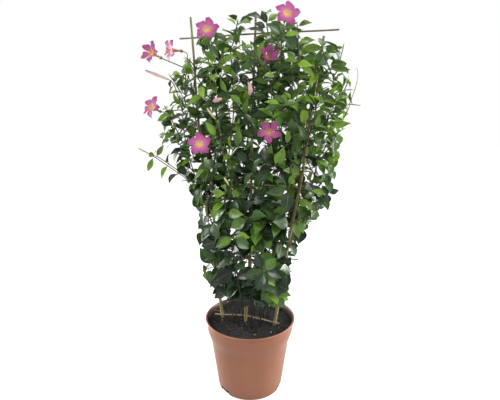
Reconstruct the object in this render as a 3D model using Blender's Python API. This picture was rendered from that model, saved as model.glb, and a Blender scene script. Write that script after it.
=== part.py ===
"""Pink mandevilla in a nursery pot, climbing a fan of three canes with five cross rungs.

Metres, +Z up. The origin is the centre of the pot's foot on the floor. The trellis stands
in the XZ plane with its front towards -Y, and +X is to the right seen from the front.
"""

import math
import random

import bmesh
import bpy
from mathutils import Matrix, Vector, noise
from mathutils.bvhtree import BVHTree
from mathutils.kdtree import KDTree

GAP = 0.0003            # between two pieces that touch
UP = Vector((0.0, 0.0, 1.0))

# Pot, turned about Z
POT_HEIGHT = 0.190
POT_SIDES = 36
LIP_RADIUS = 0.115
LIP_DEPTH = 0.004
COLLAR_TOP_RADIUS = 0.1125
COLLAR_FOOT_RADIUS = 0.1075
COLLAR_FOOT = 0.143
SHOULDER_RADIUS = 0.1005
SHOULDER = 0.135
FOOT_RADIUS = 0.083
FOOT_BEVEL = 0.004
POT_WALL = 0.002
POT_FLOOR = 0.0025
NOTCH_ANGLES = (-125.0, -5.0, 115.0)
NOTCH_WIDTH = 0.032
NOTCH_HEIGHT = 0.0085
NOTCH_DEPTH = 0.012

# Compost
SOIL_LEVEL = 0.175
SOIL_RINGS = (0.035, 0.070)
SOIL_ROUGHNESS = 0.0030
SOIL_GRAIN = 45.0

# Canes: centre lines in the trellis plane as (x, z), from the soil up
CANES = {
    "cane_left": ((-0.076, 0.177), (-0.085, 0.253), (-0.109, 0.414), (-0.118, 0.555),
                  (-0.132, 0.725), (-0.136, 0.829), (-0.141, 0.918)),
    "cane_middle": ((-0.012, 0.177), (-0.009, 0.240), (0.000, 0.363), (0.003, 0.530),
                    (0.006, 0.730), (0.012, 0.874), (0.013, 0.922)),
    "cane_right": ((0.066, 0.177), (0.088, 0.342), (0.106, 0.453), (0.126, 0.573),
                   (0.141, 0.709), (0.156, 0.814), (0.163, 0.867)),
}
CANE_DEPTH = 0.110
CANE_FOOT_RADIUS = 0.0045
CANE_TOP_RADIUS = 0.0026
CANE_TOP = 0.920
CANE_SIDES = 6
CANE_STEP = 0.090
CANE_KNOTS = (0.270, 0.446, 0.622, 0.798)
KNOT_HALF = 0.003
KNOT_SWELL = 0.0005
CANE_HOLE_TOP = 0.3     # part of the first stretch above the soil that the hole's cutter covers

# Rungs: both ends as (x, z), and the side of the left, middle and right cane on which each passes
FRONT = -1
BEHIND = 1
RUNGS = {
    "rung_1": ((-0.172, 0.873), (0.194, 0.879), (BEHIND, FRONT, BEHIND)),
    "rung_2": ((-0.161, 0.708), (0.169, 0.709), (FRONT, BEHIND, FRONT)),
    "rung_3": ((-0.135, 0.538), (0.139, 0.538), (BEHIND, FRONT, BEHIND)),
    "rung_4": ((-0.132, 0.359), (0.122, 0.360), (FRONT, BEHIND, FRONT)),
    "rung_5": ((-0.094, 0.185), (0.078, 0.184), (FRONT, BEHIND, FRONT)),
}
RUNG_RADIUS = 0.0022
RUNG_SIDES = 6
RUNG_STEP = 0.035
WIRE_RADIUS = 0.0006
WIRE_START = 0.010
WIRE_PITCH = 0.008
WIRE_TURNS = 3
WIRE_POINTS = 6

# Stems: the points that each one passes, as (x, y, z) from the soil up. Three of them twine
# round a cane and have only their root here
STEM_ROUTES = (
    ((-0.022, -0.034), (-0.050, -0.050, 0.340), (-0.078, -0.056, 0.500),
     (-0.062, -0.052, 0.680), (-0.088, -0.042, 0.850)),
    ((-0.004, -0.040), (-0.018, -0.058, 0.350), (-0.044, -0.062, 0.520),
     (-0.022, -0.054, 0.700), (-0.036, -0.036, 0.870)),
    ((0.014, -0.036), (0.030, -0.058, 0.350), (0.046, -0.064, 0.520),
     (0.066, -0.054, 0.690), (0.046, -0.036, 0.875)),
    ((0.032, -0.026), (0.062, -0.044, 0.340), (0.098, -0.050, 0.500),
     (0.112, -0.050, 0.670), (0.122, -0.038, 0.840)),
    ((-0.034, 0.018), (-0.062, 0.044, 0.350), (-0.092, 0.050, 0.540),
     (-0.100, 0.046, 0.700), (-0.072, 0.036, 0.850)),
    ((-0.008, 0.036), (-0.014, 0.054, 0.360), (-0.036, 0.058, 0.560),
     (0.000, 0.052, 0.740), (-0.012, 0.036, 0.885)),
    ((0.018, 0.032), (0.036, 0.054, 0.350), (0.052, 0.060, 0.540),
     (0.066, 0.054, 0.720), (0.062, 0.034, 0.875)),
    ((0.040, 0.014), (0.074, 0.040, 0.370), (0.104, 0.048, 0.560),
     (0.124, 0.042, 0.730), (0.104, 0.024, 0.880)),
    ((-0.044, 0.014), (-0.082, 0.024, 0.340), (-0.128, 0.022, 0.480),
     (-0.158, -0.010, 0.620), (-0.160, -0.022, 0.740), (-0.148, -0.018, 0.830)),
    ((0.046, 0.008), (0.088, 0.022, 0.360), (0.132, 0.022, 0.480),
     (0.160, -0.010, 0.600), (0.186, -0.020, 0.720), (0.188, -0.010, 0.810)),
)
TWINER_ROOTS = {
    "cane_left": (-0.036, -0.020),
    "cane_middle": (0.006, 0.022),
    "cane_right": (0.030, 0.020),
}
TWINE_START = 0.300
TWINE_END = 0.850
TWINE_RADIUS = 0.012
TWINE_PITCH = 0.260
TWINE_STEP = 0.030
ROOT_DEPTH = 0.030
STRAIGHT_FOOT = (-0.010, 0.012)     # below and above the soil, where a stem stands upright
STEM_RADII = (0.0021, 0.0012)
SHOOT_RADII = (0.0014, 0.0010)
STALK_RADII = (0.0012, 0.0011)
CALYX_RADIUS = 0.0023
CALYX_LENGTH = 0.004
STEM_SIDES = 3
PATH_STEP = 0.008
BEND_ROUNDS = 40
BEND_PUSH = 0.4
BEND_SMOOTHING = 0.15
BEND_LIMIT = math.radians(20.0)
JOINT_HALF = 0.002
JOINT_MARGIN = 0.007
FIRST_JOINT = 0.245
JOINT_STAGGER = 0.008   # how much higher the first joint is on each next stem of four
STEM_JOINTS = 0.084
SHOOT_START = 0.0035
SHOOT_FIRST = 0.026
SHOOT_JOINTS = 0.036
SHOOT_TIP = 0.006
CLEARANCE = 0.010
SHOOT_TRIES = 12
SHOOT_STRAY = 0.020
SHOOT_RISE = 0.5        # how much a shoot leaves along its parent, against outwards
ARCH_LEAN = 0.33
ARCH_LIFT = 0.3
CROWDING = 0.030        # how far off a joint may be for each free side more that it has

# Side shoots where the photo shows one: stem, height of its foot, tip
SIDE_SHOOTS = (
    (8, 0.740, (-0.180, -0.045, 0.792)),
    (8, 0.680, (-0.192, -0.050, 0.722)),
    (8, 0.600, (-0.206, -0.040, 0.660)),
    (8, 0.530, (-0.226, -0.050, 0.606)),
    (0, 0.490, (-0.128, -0.070, 0.552)),
    (0, 0.780, (-0.120, -0.070, 0.820)),
    (0, 0.830, (-0.060, -0.050, 0.872)),
    (4, 0.830, (-0.110, 0.020, 0.882)),
    (1, 0.850, (-0.012, -0.050, 0.900)),
    (2, 0.850, (0.040, -0.030, 0.915)),
    (3, 0.800, (0.110, -0.030, 0.890)),
    (9, 0.760, (0.164, -0.045, 0.842)),
    (9, 0.800, (0.206, -0.006, 0.850)),
    (9, 0.700, (0.222, -0.030, 0.778)),
    (9, 0.650, (0.226, -0.030, 0.724)),
    (9, 0.590, (0.216, -0.040, 0.676)),
    (9, 0.520, (0.200, -0.040, 0.604)),
    (9, 0.450, (0.190, -0.040, 0.536)),
    (3, 0.430, (0.138, -0.060, 0.480)),
    (3, 0.290, (0.078, -0.070, 0.330)),
    (3, 0.245, (0.080, -0.055, 0.285)),
    (0, 0.300, (-0.096, -0.055, 0.330)),
    (4, 0.300, (-0.098, 0.060, 0.340)),
)
OUTWARD_REACH = (0.050, 0.075)
OUTWARD_RISE = 0.030
OUTWARD_SPREAD = (0.018, 0.045)
OUTWARD_JOINTS = 3      # every third joint has one

# Leaves
LEAF_THICKNESS = 0.0009
LEAF_HEIGHTS = (0.40, 0.64)     # leaves below are as the first of each pair here, above as the second
LEAF_LENGTH = (0.060, 0.053)
LEAF_WIDTH = (0.0355, 0.0235)
LEAF_FALL = (-0.50, 0.12)
LEAF_LIGHT_UP = (0.45, 0.70)
LEAF_TURN = (0.28, 0.55)
LEAF_STRAY = (0.25, 0.50)
PETIOLE_HALF = 0.0010
PETIOLE_PART = 0.18
LEAF_SECTIONS = ((0.40, 0.94), (0.70, 0.80))
LEAF_BEND = math.radians(36.0)
LEAF_TRIES = 40
LEAF_MARGIN = 0.0007
STALK_ROOT = 0.0028     # radius of the stalk's root
STALK_FREE = 0.22       # part of the stalk that is free to touch its own stem
LEAF_OUTWARD = 0.30     # least cosine between a leaf and the way out of its joint
LEAF_FORWARD = 0.35
LEAF_LIGHT = (2.0, 0.75)        # sideways for each metre off the middle, and outwards
LEAF_RISE = 0.6
LEAF_LOOSEN = 0.01              # more stray at each further try
LEAF_SHRINK = 0.008
LEAF_SPREAD = (0.88, 1.12)
PLANT_HALF_DEPTH = 0.03
TIP_SIZE = 0.62

# Outline of the leaves in the trellis plane, as seen from where the photo was taken: height, left, right
PHOTO_EYE = Vector((0.279, -0.973, 0.745))
PLANT_OUTLINE = (
    (0.222, -0.100, 0.110), (0.295, -0.140, 0.107), (0.395, -0.138, 0.121), (0.455, -0.138, 0.144),
    (0.515, -0.160, 0.190), (0.540, -0.278, 0.203), (0.620, -0.278, 0.205), (0.690, -0.242, 0.225),
    (0.770, -0.202, 0.230), (0.840, -0.162, 0.195), (0.890, -0.132, 0.162), (0.935, -0.113, 0.132),
)

# Stretches of cane that stay in sight, with few leaves before them
OPEN_CANES = (
    ("cane_left", 0.430, 0.500), ("cane_left", 0.740, 0.900), ("cane_middle", 0.310, 0.370),
    ("cane_middle", 0.500, 0.550), ("cane_right", 0.365, 0.715),
)
CANE_ROOM = 0.013
BLADE_PARTS = (0.5, 0.75, 1.0)

# Blooms: stem, height of the stalk's foot, centre of the mouth, way it faces, turn, how far open
BLOOMS = (
    (2, 0.800, (0.095, -0.060, 0.905), (0.35, -0.87, 0.38), 10, 1.00),
    (0, 0.850, (-0.085, -0.050, 0.890), (-0.20, -0.40, 0.89), 40, 0.90),
    (8, 0.800, (-0.222, -0.052, 0.840), (-0.80, -0.38, 0.44), 20, 0.60),
    (8, 0.800, (-0.202, 0.010, 0.849), (-0.94, -0.36, 0.07), 55, 0.95),
    (8, 0.690, (-0.222, -0.055, 0.718), (-0.30, -0.84, 0.36), 5, 1.00),
    (0, 0.600, (-0.084, -0.104, 0.642), (0.30, -0.88, 0.43), 30, 1.00),
    (2, 0.620, (0.069, -0.096, 0.670), (0.21, -0.92, 0.38), 60, 0.75),
    (2, 0.760, (0.061, -0.080, 0.821), (0.45, -0.70, 0.55), 15, 0.35),
)
TUBE_LENGTH = 0.030
TUBE_SECTIONS = ((0.0, 0.0020), (0.38, 0.0023), (0.70, 0.0052), (1.0, 0.0068))
THROAT_SECTIONS = ((1.0, 0.0059), (0.70, 0.0038), (0.42, 0.0))
LOBES = 5
LOBE_SECTIONS = ((0.0078, 0.0096, 0.0005), (0.0143, 0.0071, 0.0028))
LOBE_TIP = (0.0190, 0.0047)
LOBE_CUP = math.radians(70.0)
LOBE_REFLEX = 0.0027
LOBE_SPACING = 0.0004
PETAL_THICKNESS = 0.0009
BLOOM_ROOM_RADIUS = 0.0055
BLOOM_ROOM_SIDES = 10
BLOOM_ROOM_BACK = 0.004
BLOOM_ROOM_FRONT = 0.008

# Closed blooms and buds: stem, height of the stalk's foot, base, tip, widest radius
CLOSED = {
    "faded_bloom_1": (1, 0.720, (0.022, -0.088, 0.772), (0.026, -0.092, 0.744), 0.0058),
    "faded_bloom_2": (1, 0.690, (-0.036, -0.088, 0.738), (-0.056, -0.096, 0.732), 0.0056),
    "bud_1": (8, 0.760, (-0.178, -0.048, 0.779), (-0.236, -0.052, 0.801), 0.0052),
    "bud_2": (8, 0.560, (-0.244, -0.052, 0.612), (-0.266, -0.054, 0.622), 0.0034),
    "bud_3": (1, 0.520, (-0.017, -0.104, 0.553), (-0.029, -0.106, 0.573), 0.0032),
    "bud_4": (1, 0.640, (-0.052, -0.088, 0.694), (-0.070, -0.092, 0.718), 0.0036),
}
BUD_SECTIONS = ((0.0, 0.38), (0.25, 0.62), (0.58, 1.0), (0.84, 0.62))
BUD_SIDES = 6
BUD_TURN = Vector((0.3, 1.0, 0.2))

# Colour, roughness and metallic value of each material
MATERIALS = {
    "pot_plastic": ((0.38, 0.17, 0.10), 0.38, 0.0),
    "compost": ((0.022, 0.018, 0.016), 0.95, 0.0),
    "cane_skin": ((0.42, 0.24, 0.11), 0.55, 0.0),
    "rung_wood": ((0.55, 0.38, 0.20), 0.60, 0.0),
    "wire_metal": ((0.35, 0.34, 0.33), 0.40, 1.0),
    "leaf_green": ((0.06, 0.16, 0.03), 0.35, 0.0),
    "petal_pink": ((0.62, 0.10, 0.36), 0.50, 0.0),
    "faded_pink": ((0.72, 0.42, 0.46), 0.60, 0.0),
    "bud_skin": ((0.62, 0.50, 0.32), 0.50, 0.0),
}


def clear_scene():
    for old in list(bpy.data.objects):
        bpy.data.objects.remove(old, do_unlink=True)


def material(name):
    found = bpy.data.materials.get(name)
    if found:
        return found
    colour, roughness, metallic = MATERIALS[name]
    new = bpy.data.materials.new(name)
    new.use_nodes = True
    shader = new.node_tree.nodes["Principled BSDF"]
    shader.inputs["Base Color"].default_value = (*colour, 1.0)
    shader.inputs["Roughness"].default_value = roughness
    shader.inputs["Metallic"].default_value = metallic
    new.diffuse_color = (*colour, 1.0)
    return new


def finish(bm, name, material_name, smooth=True):
    """Make an object of a bmesh whose faces then point out."""
    bmesh.ops.recalc_face_normals(bm, faces=bm.faces)
    if bm.calc_volume(signed=True) < 0:
        bmesh.ops.reverse_faces(bm, faces=bm.faces)
    bmesh.ops.triangulate(bm, faces=[f for f in bm.faces if len(f.verts) > 3], quad_method="SHORT_EDGE")
    mesh = bpy.data.meshes.new(name)
    bm.to_mesh(mesh)
    bm.free()
    if smooth:
        mesh.shade_smooth()
        mesh.set_sharp_from_angle(angle=math.radians(40.0))
    mesh.materials.append(material(material_name))
    made = bpy.data.objects.new(name, mesh)
    bpy.context.scene.collection.objects.link(made)
    return made


def cut(target, cutter):
    """Take the cutter out of the target. The cutter stays as a wire guide."""
    cutter.hide_render = True
    cutter.display_type = "WIRE"
    boolean = target.modifiers.new(cutter.name, "BOOLEAN")
    boolean.operation = "DIFFERENCE"
    boolean.solver = "EXACT"
    boolean.object = cutter


# Curves and rings

def smooth_path(points, step):
    """Points about a step apart along a Catmull-Rom curve through the given ones."""
    points = [Vector(p) for p in points]
    held = [2 * points[0] - points[1], *points, 2 * points[-1] - points[-2]]
    path = []
    for before, start, end, after in zip(held, held[1:], held[2:], held[3:]):
        count = max(1, round((end - start).length / step))
        for i in range(count):
            t = i / count
            slope = (end - before) * t
            curve = (2 * before - 5 * start + 4 * end - after) * t * t
            twist = (3 * start - before - 3 * end + after) * t * t * t
            path.append((2 * start + slope + curve + twist) / 2)
    path.append(points[-1])
    return path


def lengths_along(path):
    lengths = [0.0]
    for start, end in zip(path, path[1:]):
        lengths.append(lengths[-1] + (end - start).length)
    return lengths


def point_at(path, lengths, distance):
    """The point at a distance along a path, and the path's direction there."""
    index = 0
    while index < len(path) - 2 and lengths[index + 1] < distance:
        index += 1
    step = path[index + 1] - path[index]
    return path[index] + step.normalized() * (distance - lengths[index]), step.normalized()


def middle(points):
    return sum(points, Vector()) / len(points)


def square_to(vector, axis):
    """The part of a vector that is square to an axis, at unit length."""
    return (vector - axis * vector.dot(axis)).normalized()


def ring(centre, axis, side, radius, count):
    """Points of a circle about an axis, the first one towards side."""
    side = square_to(side, axis)
    across = axis.cross(side)
    turns = [math.tau * i / count for i in range(count)]
    return [centre + (side * math.cos(a) + across * math.sin(a)) * radius for a in turns]


def bridge(bm, near, far, left_open=()):
    """Faces between two rings of as many vertices, but for those left open."""
    count = len(near)
    for i in range(count):
        if i not in left_open:
            j = (i + 1) % count
            bm.faces.new((near[i], near[j], far[j], far[i]))


def new_ring(bm, points):
    return [bm.verts.new(p) for p in points]


def rod(bm, centres, radii, count, side):
    """A closed rod with a ring at each centre."""
    rings = []
    for i, (centre, radius) in enumerate(zip(centres, radii)):
        axis = (centres[min(i + 1, len(centres) - 1)] - centres[max(i - 1, 0)]).normalized()
        rings.append(new_ring(bm, ring(centre, axis, side, radius, count)))
    for near, far in zip(rings, rings[1:]):
        bridge(bm, near, far)
    bm.faces.new(rings[0])
    bm.faces.new(rings[-1])


def turned(bm, profile, count):
    """A solid turned about Z from a profile of (radius, height) that starts and ends on the axis."""
    rings = []
    for radius, height in profile[1:-1]:
        rings.append(new_ring(bm, ring(UP * height, UP, Vector((1, 0, 0)), radius, count)))
    for near, far in zip(rings, rings[1:]):
        bridge(bm, near, far)
    for end, height in ((rings[0], profile[0][1]), (rings[-1], profile[-1][1])):
        hub = bm.verts.new(UP * height)
        for i in range(count):
            bm.faces.new((hub, end[i], end[(i + 1) % count]))


# Pot and compost

def inner_radius(height):
    """Radius of the pot's inner wall at a height."""
    levels = ((0.0, FOOT_RADIUS), (SHOULDER, SHOULDER_RADIUS),
              (COLLAR_FOOT, COLLAR_FOOT_RADIUS), (POT_HEIGHT, COLLAR_TOP_RADIUS))
    for (low, start), (high, end) in zip(levels, levels[1:]):
        if height <= high:
            return start + (end - start) * (height - low) / (high - low) - POT_WALL
    return COLLAR_TOP_RADIUS - POT_WALL


def make_pot():
    lip_foot = POT_HEIGHT - LIP_DEPTH
    outside = [(0.0, 0.0), (FOOT_RADIUS - FOOT_BEVEL, 0.0), (FOOT_RADIUS, FOOT_BEVEL),
               (SHOULDER_RADIUS, SHOULDER), (COLLAR_FOOT_RADIUS, COLLAR_FOOT),
               (COLLAR_TOP_RADIUS, lip_foot - 0.001), (LIP_RADIUS, lip_foot),
               (LIP_RADIUS, POT_HEIGHT - 0.001), (LIP_RADIUS - 0.001, POT_HEIGHT)]
    inside = [(inner_radius(POT_HEIGHT), POT_HEIGHT), (inner_radius(COLLAR_FOOT), COLLAR_FOOT),
              (inner_radius(SHOULDER), SHOULDER), (inner_radius(POT_FLOOR), POT_FLOOR), (0.0, POT_FLOOR)]
    bm = bmesh.new()
    turned(bm, outside + inside, POT_SIDES)
    pot = finish(bm, "pot", "pot_plastic")
    cut(pot, make_notches())


def make_notches():
    """Three wide boxes that cross the foot's corner."""
    bm = bmesh.new()
    for angle in NOTCH_ANGLES:
        turn = Matrix.Rotation(math.radians(angle), 4, "Z")
        place = turn @ Matrix.Translation((FOOT_RADIUS, 0.0, 0.0))
        size = Matrix.Diagonal((2 * NOTCH_DEPTH, NOTCH_WIDTH, 2 * NOTCH_HEIGHT, 1.0))
        bmesh.ops.create_cube(bm, size=1.0, matrix=place @ size)
    return finish(bm, "drain_notches", "pot_plastic", smooth=False)


def soil_height(x, y):
    return SOIL_LEVEL + SOIL_ROUGHNESS * noise.noise(Vector((x, y, 0.0)) * SOIL_GRAIN)


def make_soil(feet):
    """Compost that fills the pot, with a hole for each foot that stands in it."""
    floor = POT_FLOOR + GAP
    wall = GAP / math.cos(math.pi / POT_SIDES) + 0.0002
    rim = inner_radius(SOIL_LEVEL) - wall
    profile = [(0.0, floor), (inner_radius(floor) - wall, floor), (inner_radius(SHOULDER) - wall, SHOULDER),
               (inner_radius(COLLAR_FOOT) - wall, COLLAR_FOOT), (rim, SOIL_LEVEL)]
    profile += [(radius, SOIL_LEVEL) for radius in reversed(SOIL_RINGS)]
    profile.append((0.0, SOIL_LEVEL))
    bm = bmesh.new()
    turned(bm, profile, POT_SIDES)
    for vert in bm.verts:
        if vert.co.z > SOIL_LEVEL - GAP:
            vert.co.z = soil_height(vert.co.x, vert.co.y)
    soil = finish(bm, "soil", "compost")
    bm = bmesh.new()
    for low, high, side, radius, count in feet:
        axis = (high - low).normalized()
        hole = radius + GAP / math.cos(math.pi / count)
        rod(bm, [low - axis * GAP, high], [hole, hole], count, side)
    cut(soil, finish(bm, "foot_holes", "compost", smooth=False))


# Trellis

def cane_radius(height):
    return CANE_FOOT_RADIUS + (CANE_TOP_RADIUS - CANE_FOOT_RADIUS) * height / CANE_TOP


def cane_path(name):
    """The cane's centre line from its buried foot up."""
    points = [Vector((x, 0.0, z)) for x, z in CANES[name]]
    down = (points[0] - points[1]).normalized()
    return [points[0] + down * CANE_DEPTH, *points]


def cane_x(name, height):
    """Where a cane's centre line passes a height."""
    path = smooth_path(cane_path(name)[1:], PATH_STEP)
    return min(path, key=lambda p: abs(p.z - height)).x


def make_cane(name):
    """A tapered cane with a swollen knot between each two rungs. Returns its foot."""
    foot, *above = cane_path(name)
    heights = {foot.z, above[0].z}
    heights.update(p.z for p in smooth_path(above, CANE_STEP))
    for knot in CANE_KNOTS:
        heights = {z for z in heights if abs(z - knot) > 3 * KNOT_HALF}
        heights.update((knot - KNOT_HALF, knot, knot + KNOT_HALF))
    path = [foot, *smooth_path(above, PATH_STEP)]
    centres = []
    for height in sorted(heights):
        low, high = next(pair for pair in zip(path, path[1:]) if pair[1].z >= height - GAP)
        centres.append(low.lerp(high, (height - low.z) / (high.z - low.z)))
    radii = [cane_radius(c.z) + (KNOT_SWELL if c.z in CANE_KNOTS else 0.0) for c in centres]
    bm = bmesh.new()
    rod(bm, centres, radii, CANE_SIDES, Vector((1, 0, 0)))
    finish(bm, name, "cane_skin")
    return foot, above[0].lerp(above[1], CANE_HOLE_TOP), Vector((1, 0, 0)), CANE_FOOT_RADIUS, CANE_SIDES


def rung_path(name):
    """A rung woven past the three canes, GAP away from each."""
    (left, low), (right, high), sides = RUNGS[name]
    crossings = []
    for cane, side in zip(CANES, sides):
        x = cane_x(cane, (low + high) / 2)
        height = low + (high - low) * (x - left) / (right - left)
        crossings.append(Vector((x, side * (cane_radius(height) + RUNG_RADIUS + GAP), height)))
    first = Vector((left, crossings[0].y, low))
    last = Vector((right, crossings[-1].y, high))
    return smooth_path([first, *crossings, last], RUNG_STEP)


def make_rung(name):
    path = rung_path(name)
    bm = bmesh.new()
    rod(bm, path, [RUNG_RADIUS] * len(path), RUNG_SIDES, UP)
    finish(bm, name, "rung_wood")


def make_rung_wire():
    """A few turns of thin wire round the lowest rung."""
    path = rung_path("rung_5")
    lengths = lengths_along(path)
    start = WIRE_START - path[0].x
    radius = RUNG_RADIUS + GAP + WIRE_RADIUS / math.cos(math.pi / 4)
    centres = []
    for i in range(WIRE_TURNS * WIRE_POINTS + 1):
        turn = i / WIRE_POINTS
        centre, axis = point_at(path, lengths, start + turn * WIRE_PITCH)
        side = Matrix.Rotation(math.tau * turn, 3, axis) @ UP
        centres.append(centre + square_to(side, axis) * radius)
    bm = bmesh.new()
    rod(bm, centres, [WIRE_RADIUS] * len(centres), 4, Vector((1, 0, 0)))
    finish(bm, "rung_wire", "wire_metal")


# Stems and side shoots

class Obstacles:
    """What stems bend clear of and leaves may not touch."""

    def __init__(self):
        self.points = []
        self.shells = []

    def add_path(self, path):
        self.points += path

    def add_shell(self, rings, tip=None, owner=None):
        self.shells.append((*shell_tree(rings, tip), owner))

    def meets(self, rings, tip=None, owner=None, own=False):
        """Whether a closed row of rings crosses anything here that the owner lacks or, with own, has."""
        low, high, tree = shell_tree(rings, tip)
        for other_low, other_high, other, holder in self.shells:
            if owner and (holder is owner) != own:
                continue
            apart = any(low[i] > other_high[i] or high[i] < other_low[i] for i in range(3))
            if not apart and tree.overlap(other):
                return True
        return False

    def bend_clear(self, path, first, last):
        """Push the points of a path from first to last sideways, away from what is laid already."""
        tree = KDTree(len(self.points))
        for i, point in enumerate(self.points):
            tree.insert(point, i)
        tree.balance()
        for _ in range(BEND_ROUNDS):
            for i in range(first, last):
                before = path[i - 1]
                after = path[min(i + 1, len(path) - 1)]
                along = (after - before).normalized()
                for point, _, distance in tree.find_range(path[i], CLEARANCE):
                    away = square_to(path[i] - point, along)
                    path[i] = path[i] + away * (CLEARANCE - distance) * BEND_PUSH
                after = path[min(i + 1, len(path) - 1)]
                path[i] = path[i] * (1 - 2 * BEND_SMOOTHING) + (before + after) * BEND_SMOOTHING
        return path


def shell_tree(rings, tip):
    """Bounds and search tree of a row of rings, closed at both ends."""
    points = [p for points in rings for p in points]
    count = len(rings[0])
    faces = []
    for row in range(len(rings) - 1):
        for i in range(count):
            j = (i + 1) % count
            near = row * count
            far = near + count
            faces.append((near + i, near + j, far + j, far + i))
    faces.append(tuple(range(count)))
    last = (len(rings) - 1) * count
    if tip is None:
        faces.append(tuple(range(last, last + count)))
    else:
        points.append(tip)
        faces += [(last + i, last + (i + 1) % count, len(points) - 1) for i in range(count)]
    low = [min(p[i] for p in points) for i in range(3)]
    high = [max(p[i] for p in points) for i in range(3)]
    return low, high, BVHTree.FromPolygons(points, faces)


class Shoot:
    """A stem, side shoot or flower stalk: its centre line, its joints and its rings."""

    def __init__(self, path, radii, joints, side, calyx=None):
        self.path = path
        self.lengths = lengths_along(path)
        self.length = self.lengths[-1]
        self.radii = radii
        self.joints = joints
        self.side = side
        self.calyx = calyx
        self.taken = {}

    def radius(self, distance):
        return self.radii[0] + (self.radii[1] - self.radii[0]) * distance / self.length

    def lay_rings(self, start, straight=None):
        """Work out the rings from a start distance on, a close pair at each joint."""
        stations = {straight: None} if straight else {}
        for number, joint in enumerate(self.joints):
            stations[joint - JOINT_HALF] = number
            stations[joint + JOINT_HALF] = None
        stations[start] = stations.get(start)
        stations[self.length] = None
        heading = point_at(self.path, self.lengths, start)[1]
        for distance, here, ahead in zip(self.lengths[1:], self.path[1:], self.path[2:]):
            near_joint = any(abs(distance - s) < JOINT_MARGIN for s in stations)
            direction = (ahead - here).normalized()
            if near_joint:
                heading = direction
            elif distance > start and direction.angle(heading) > BEND_LIMIT:
                heading = direction
                stations[distance] = None
        if self.calyx:
            stations[self.length - CALYX_LENGTH] = None
        self.stations = sorted(stations)
        self.joint_rows = {}
        self.rings = []
        self.axes = []
        side = self.side
        for row, distance in enumerate(self.stations):
            centre, axis = point_at(self.path, self.lengths, distance)
            side = square_to(side, axis)
            radius = self.radius(distance)
            if self.calyx and distance == self.length:
                axis = self.calyx
                radius = CALYX_RADIUS
            self.rings.append(ring(centre, axis, side, radius, STEM_SIDES))
            self.axes.append(axis)
            if stations[distance] is not None:
                self.joint_rows[stations[distance]] = row

    def face(self, joint, number):
        """Centre and outward direction of one side face at a joint."""
        row = self.joint_rows[joint]
        near, far = self.rings[row], self.rings[row + 1]
        other = (number + 1) % STEM_SIDES
        centre = middle([near[number], near[other], far[number], far[other]])
        return centre, square_to(centre - middle(near + far), self.axes[row])

    def free_faces(self, joint):
        return [i for i in range(STEM_SIDES) if (joint, i) not in self.taken]

    def joints_near(self, height):
        """Joints with a free side, the nearest to a height first, but rather one with more free sides."""
        def distance(joint):
            return abs(self.face(joint, 0)[0].z - height) - CROWDING * len(self.free_faces(joint))

        return sorted((j for j in range(len(self.joints)) if self.free_faces(j)), key=distance)

    def face_towards(self, joint, goal):
        """The free side face that looks most towards a point."""
        def turned_to(number):
            centre, outward = self.face(joint, number)
            return outward.dot(goal - centre)

        return max(self.free_faces(joint), key=turned_to)


def stem_path(root, route):
    """From the buried root straight up out of the soil, then along the route."""
    x, y = root
    foot = [Vector((x, y, SOIL_LEVEL + height)) for height in (-ROOT_DEPTH, *STRAIGHT_FOOT)]
    return foot + smooth_path([foot[-1], *[Vector(p) for p in route]], PATH_STEP)[1:]


def twining_route(cane, root):
    """A route that climbs round a cane, from the side of its root on."""
    route = []
    count = round((TWINE_END - TWINE_START) / TWINE_STEP)
    first = math.atan2(root[1], root[0] - cane_x(cane, TWINE_START))
    for i in range(count + 1):
        height = TWINE_START + (TWINE_END - TWINE_START) * i / count
        turn = first + math.tau * (height - TWINE_START) / TWINE_PITCH
        x = cane_x(cane, height) + TWINE_RADIUS * math.cos(turn)
        route.append((x, TWINE_RADIUS * math.sin(turn), height))
    return route


def lay_stems(obstacles):
    routes = [(route[0], route[1:]) for route in STEM_ROUTES]
    routes += [(root, twining_route(cane, root)) for cane, root in TWINER_ROOTS.items()]
    stems = []
    for number, (root, route) in enumerate(routes):
        path = stem_path(root, route)
        path = obstacles.bend_clear(path, 3, len(path))
        stem = Shoot(path, STEM_RADII, [], Vector((math.cos(number), math.sin(number), 0.0)))
        lowest = FIRST_JOINT + JOINT_STAGGER * (number % 4)
        rise = next(s for s, p in zip(stem.lengths, path) if p.z > lowest)
        count = int((stem.length - SHOOT_TIP - rise) / STEM_JOINTS)
        spacing = (stem.length - SHOOT_TIP - rise) / count
        stem.joints = [rise + spacing * i for i in range(count + 1)]
        stem.lay_rings(0.0, stem.lengths[2])
        obstacles.add_path(path[3:])
        obstacles.add_shell(stem.rings, owner=stem)
        stems.append(stem)
    return stems


def arch(start, leave, end, arrive=None):
    """Points of a curve that leaves along one direction and may arrive along another."""
    reach = (end - start).length / 3
    first = start + leave * reach
    second = end - arrive * reach if arrive else end.lerp(start, ARCH_LEAN) + UP * reach * ARCH_LIFT
    count = max(3, round((end - start).length / PATH_STEP))
    points = []
    for i in range(count + 1):
        t = i / count
        u = 1 - t
        points.append(start * u ** 3 + first * 3 * u * u * t + second * 3 * u * t * t + end * t ** 3)
    return points


def random_vector(rng):
    return Vector((rng.uniform(-1, 1), rng.uniform(-1, 1), rng.uniform(-1, 1)))


def grow_near(parent, height, *way):
    """A side shoot or stalk from the first joint near a height that has a clear way to its end."""
    return any(grow_shoot(parent, joint, *way) for joint in parent.joints_near(height))


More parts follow.
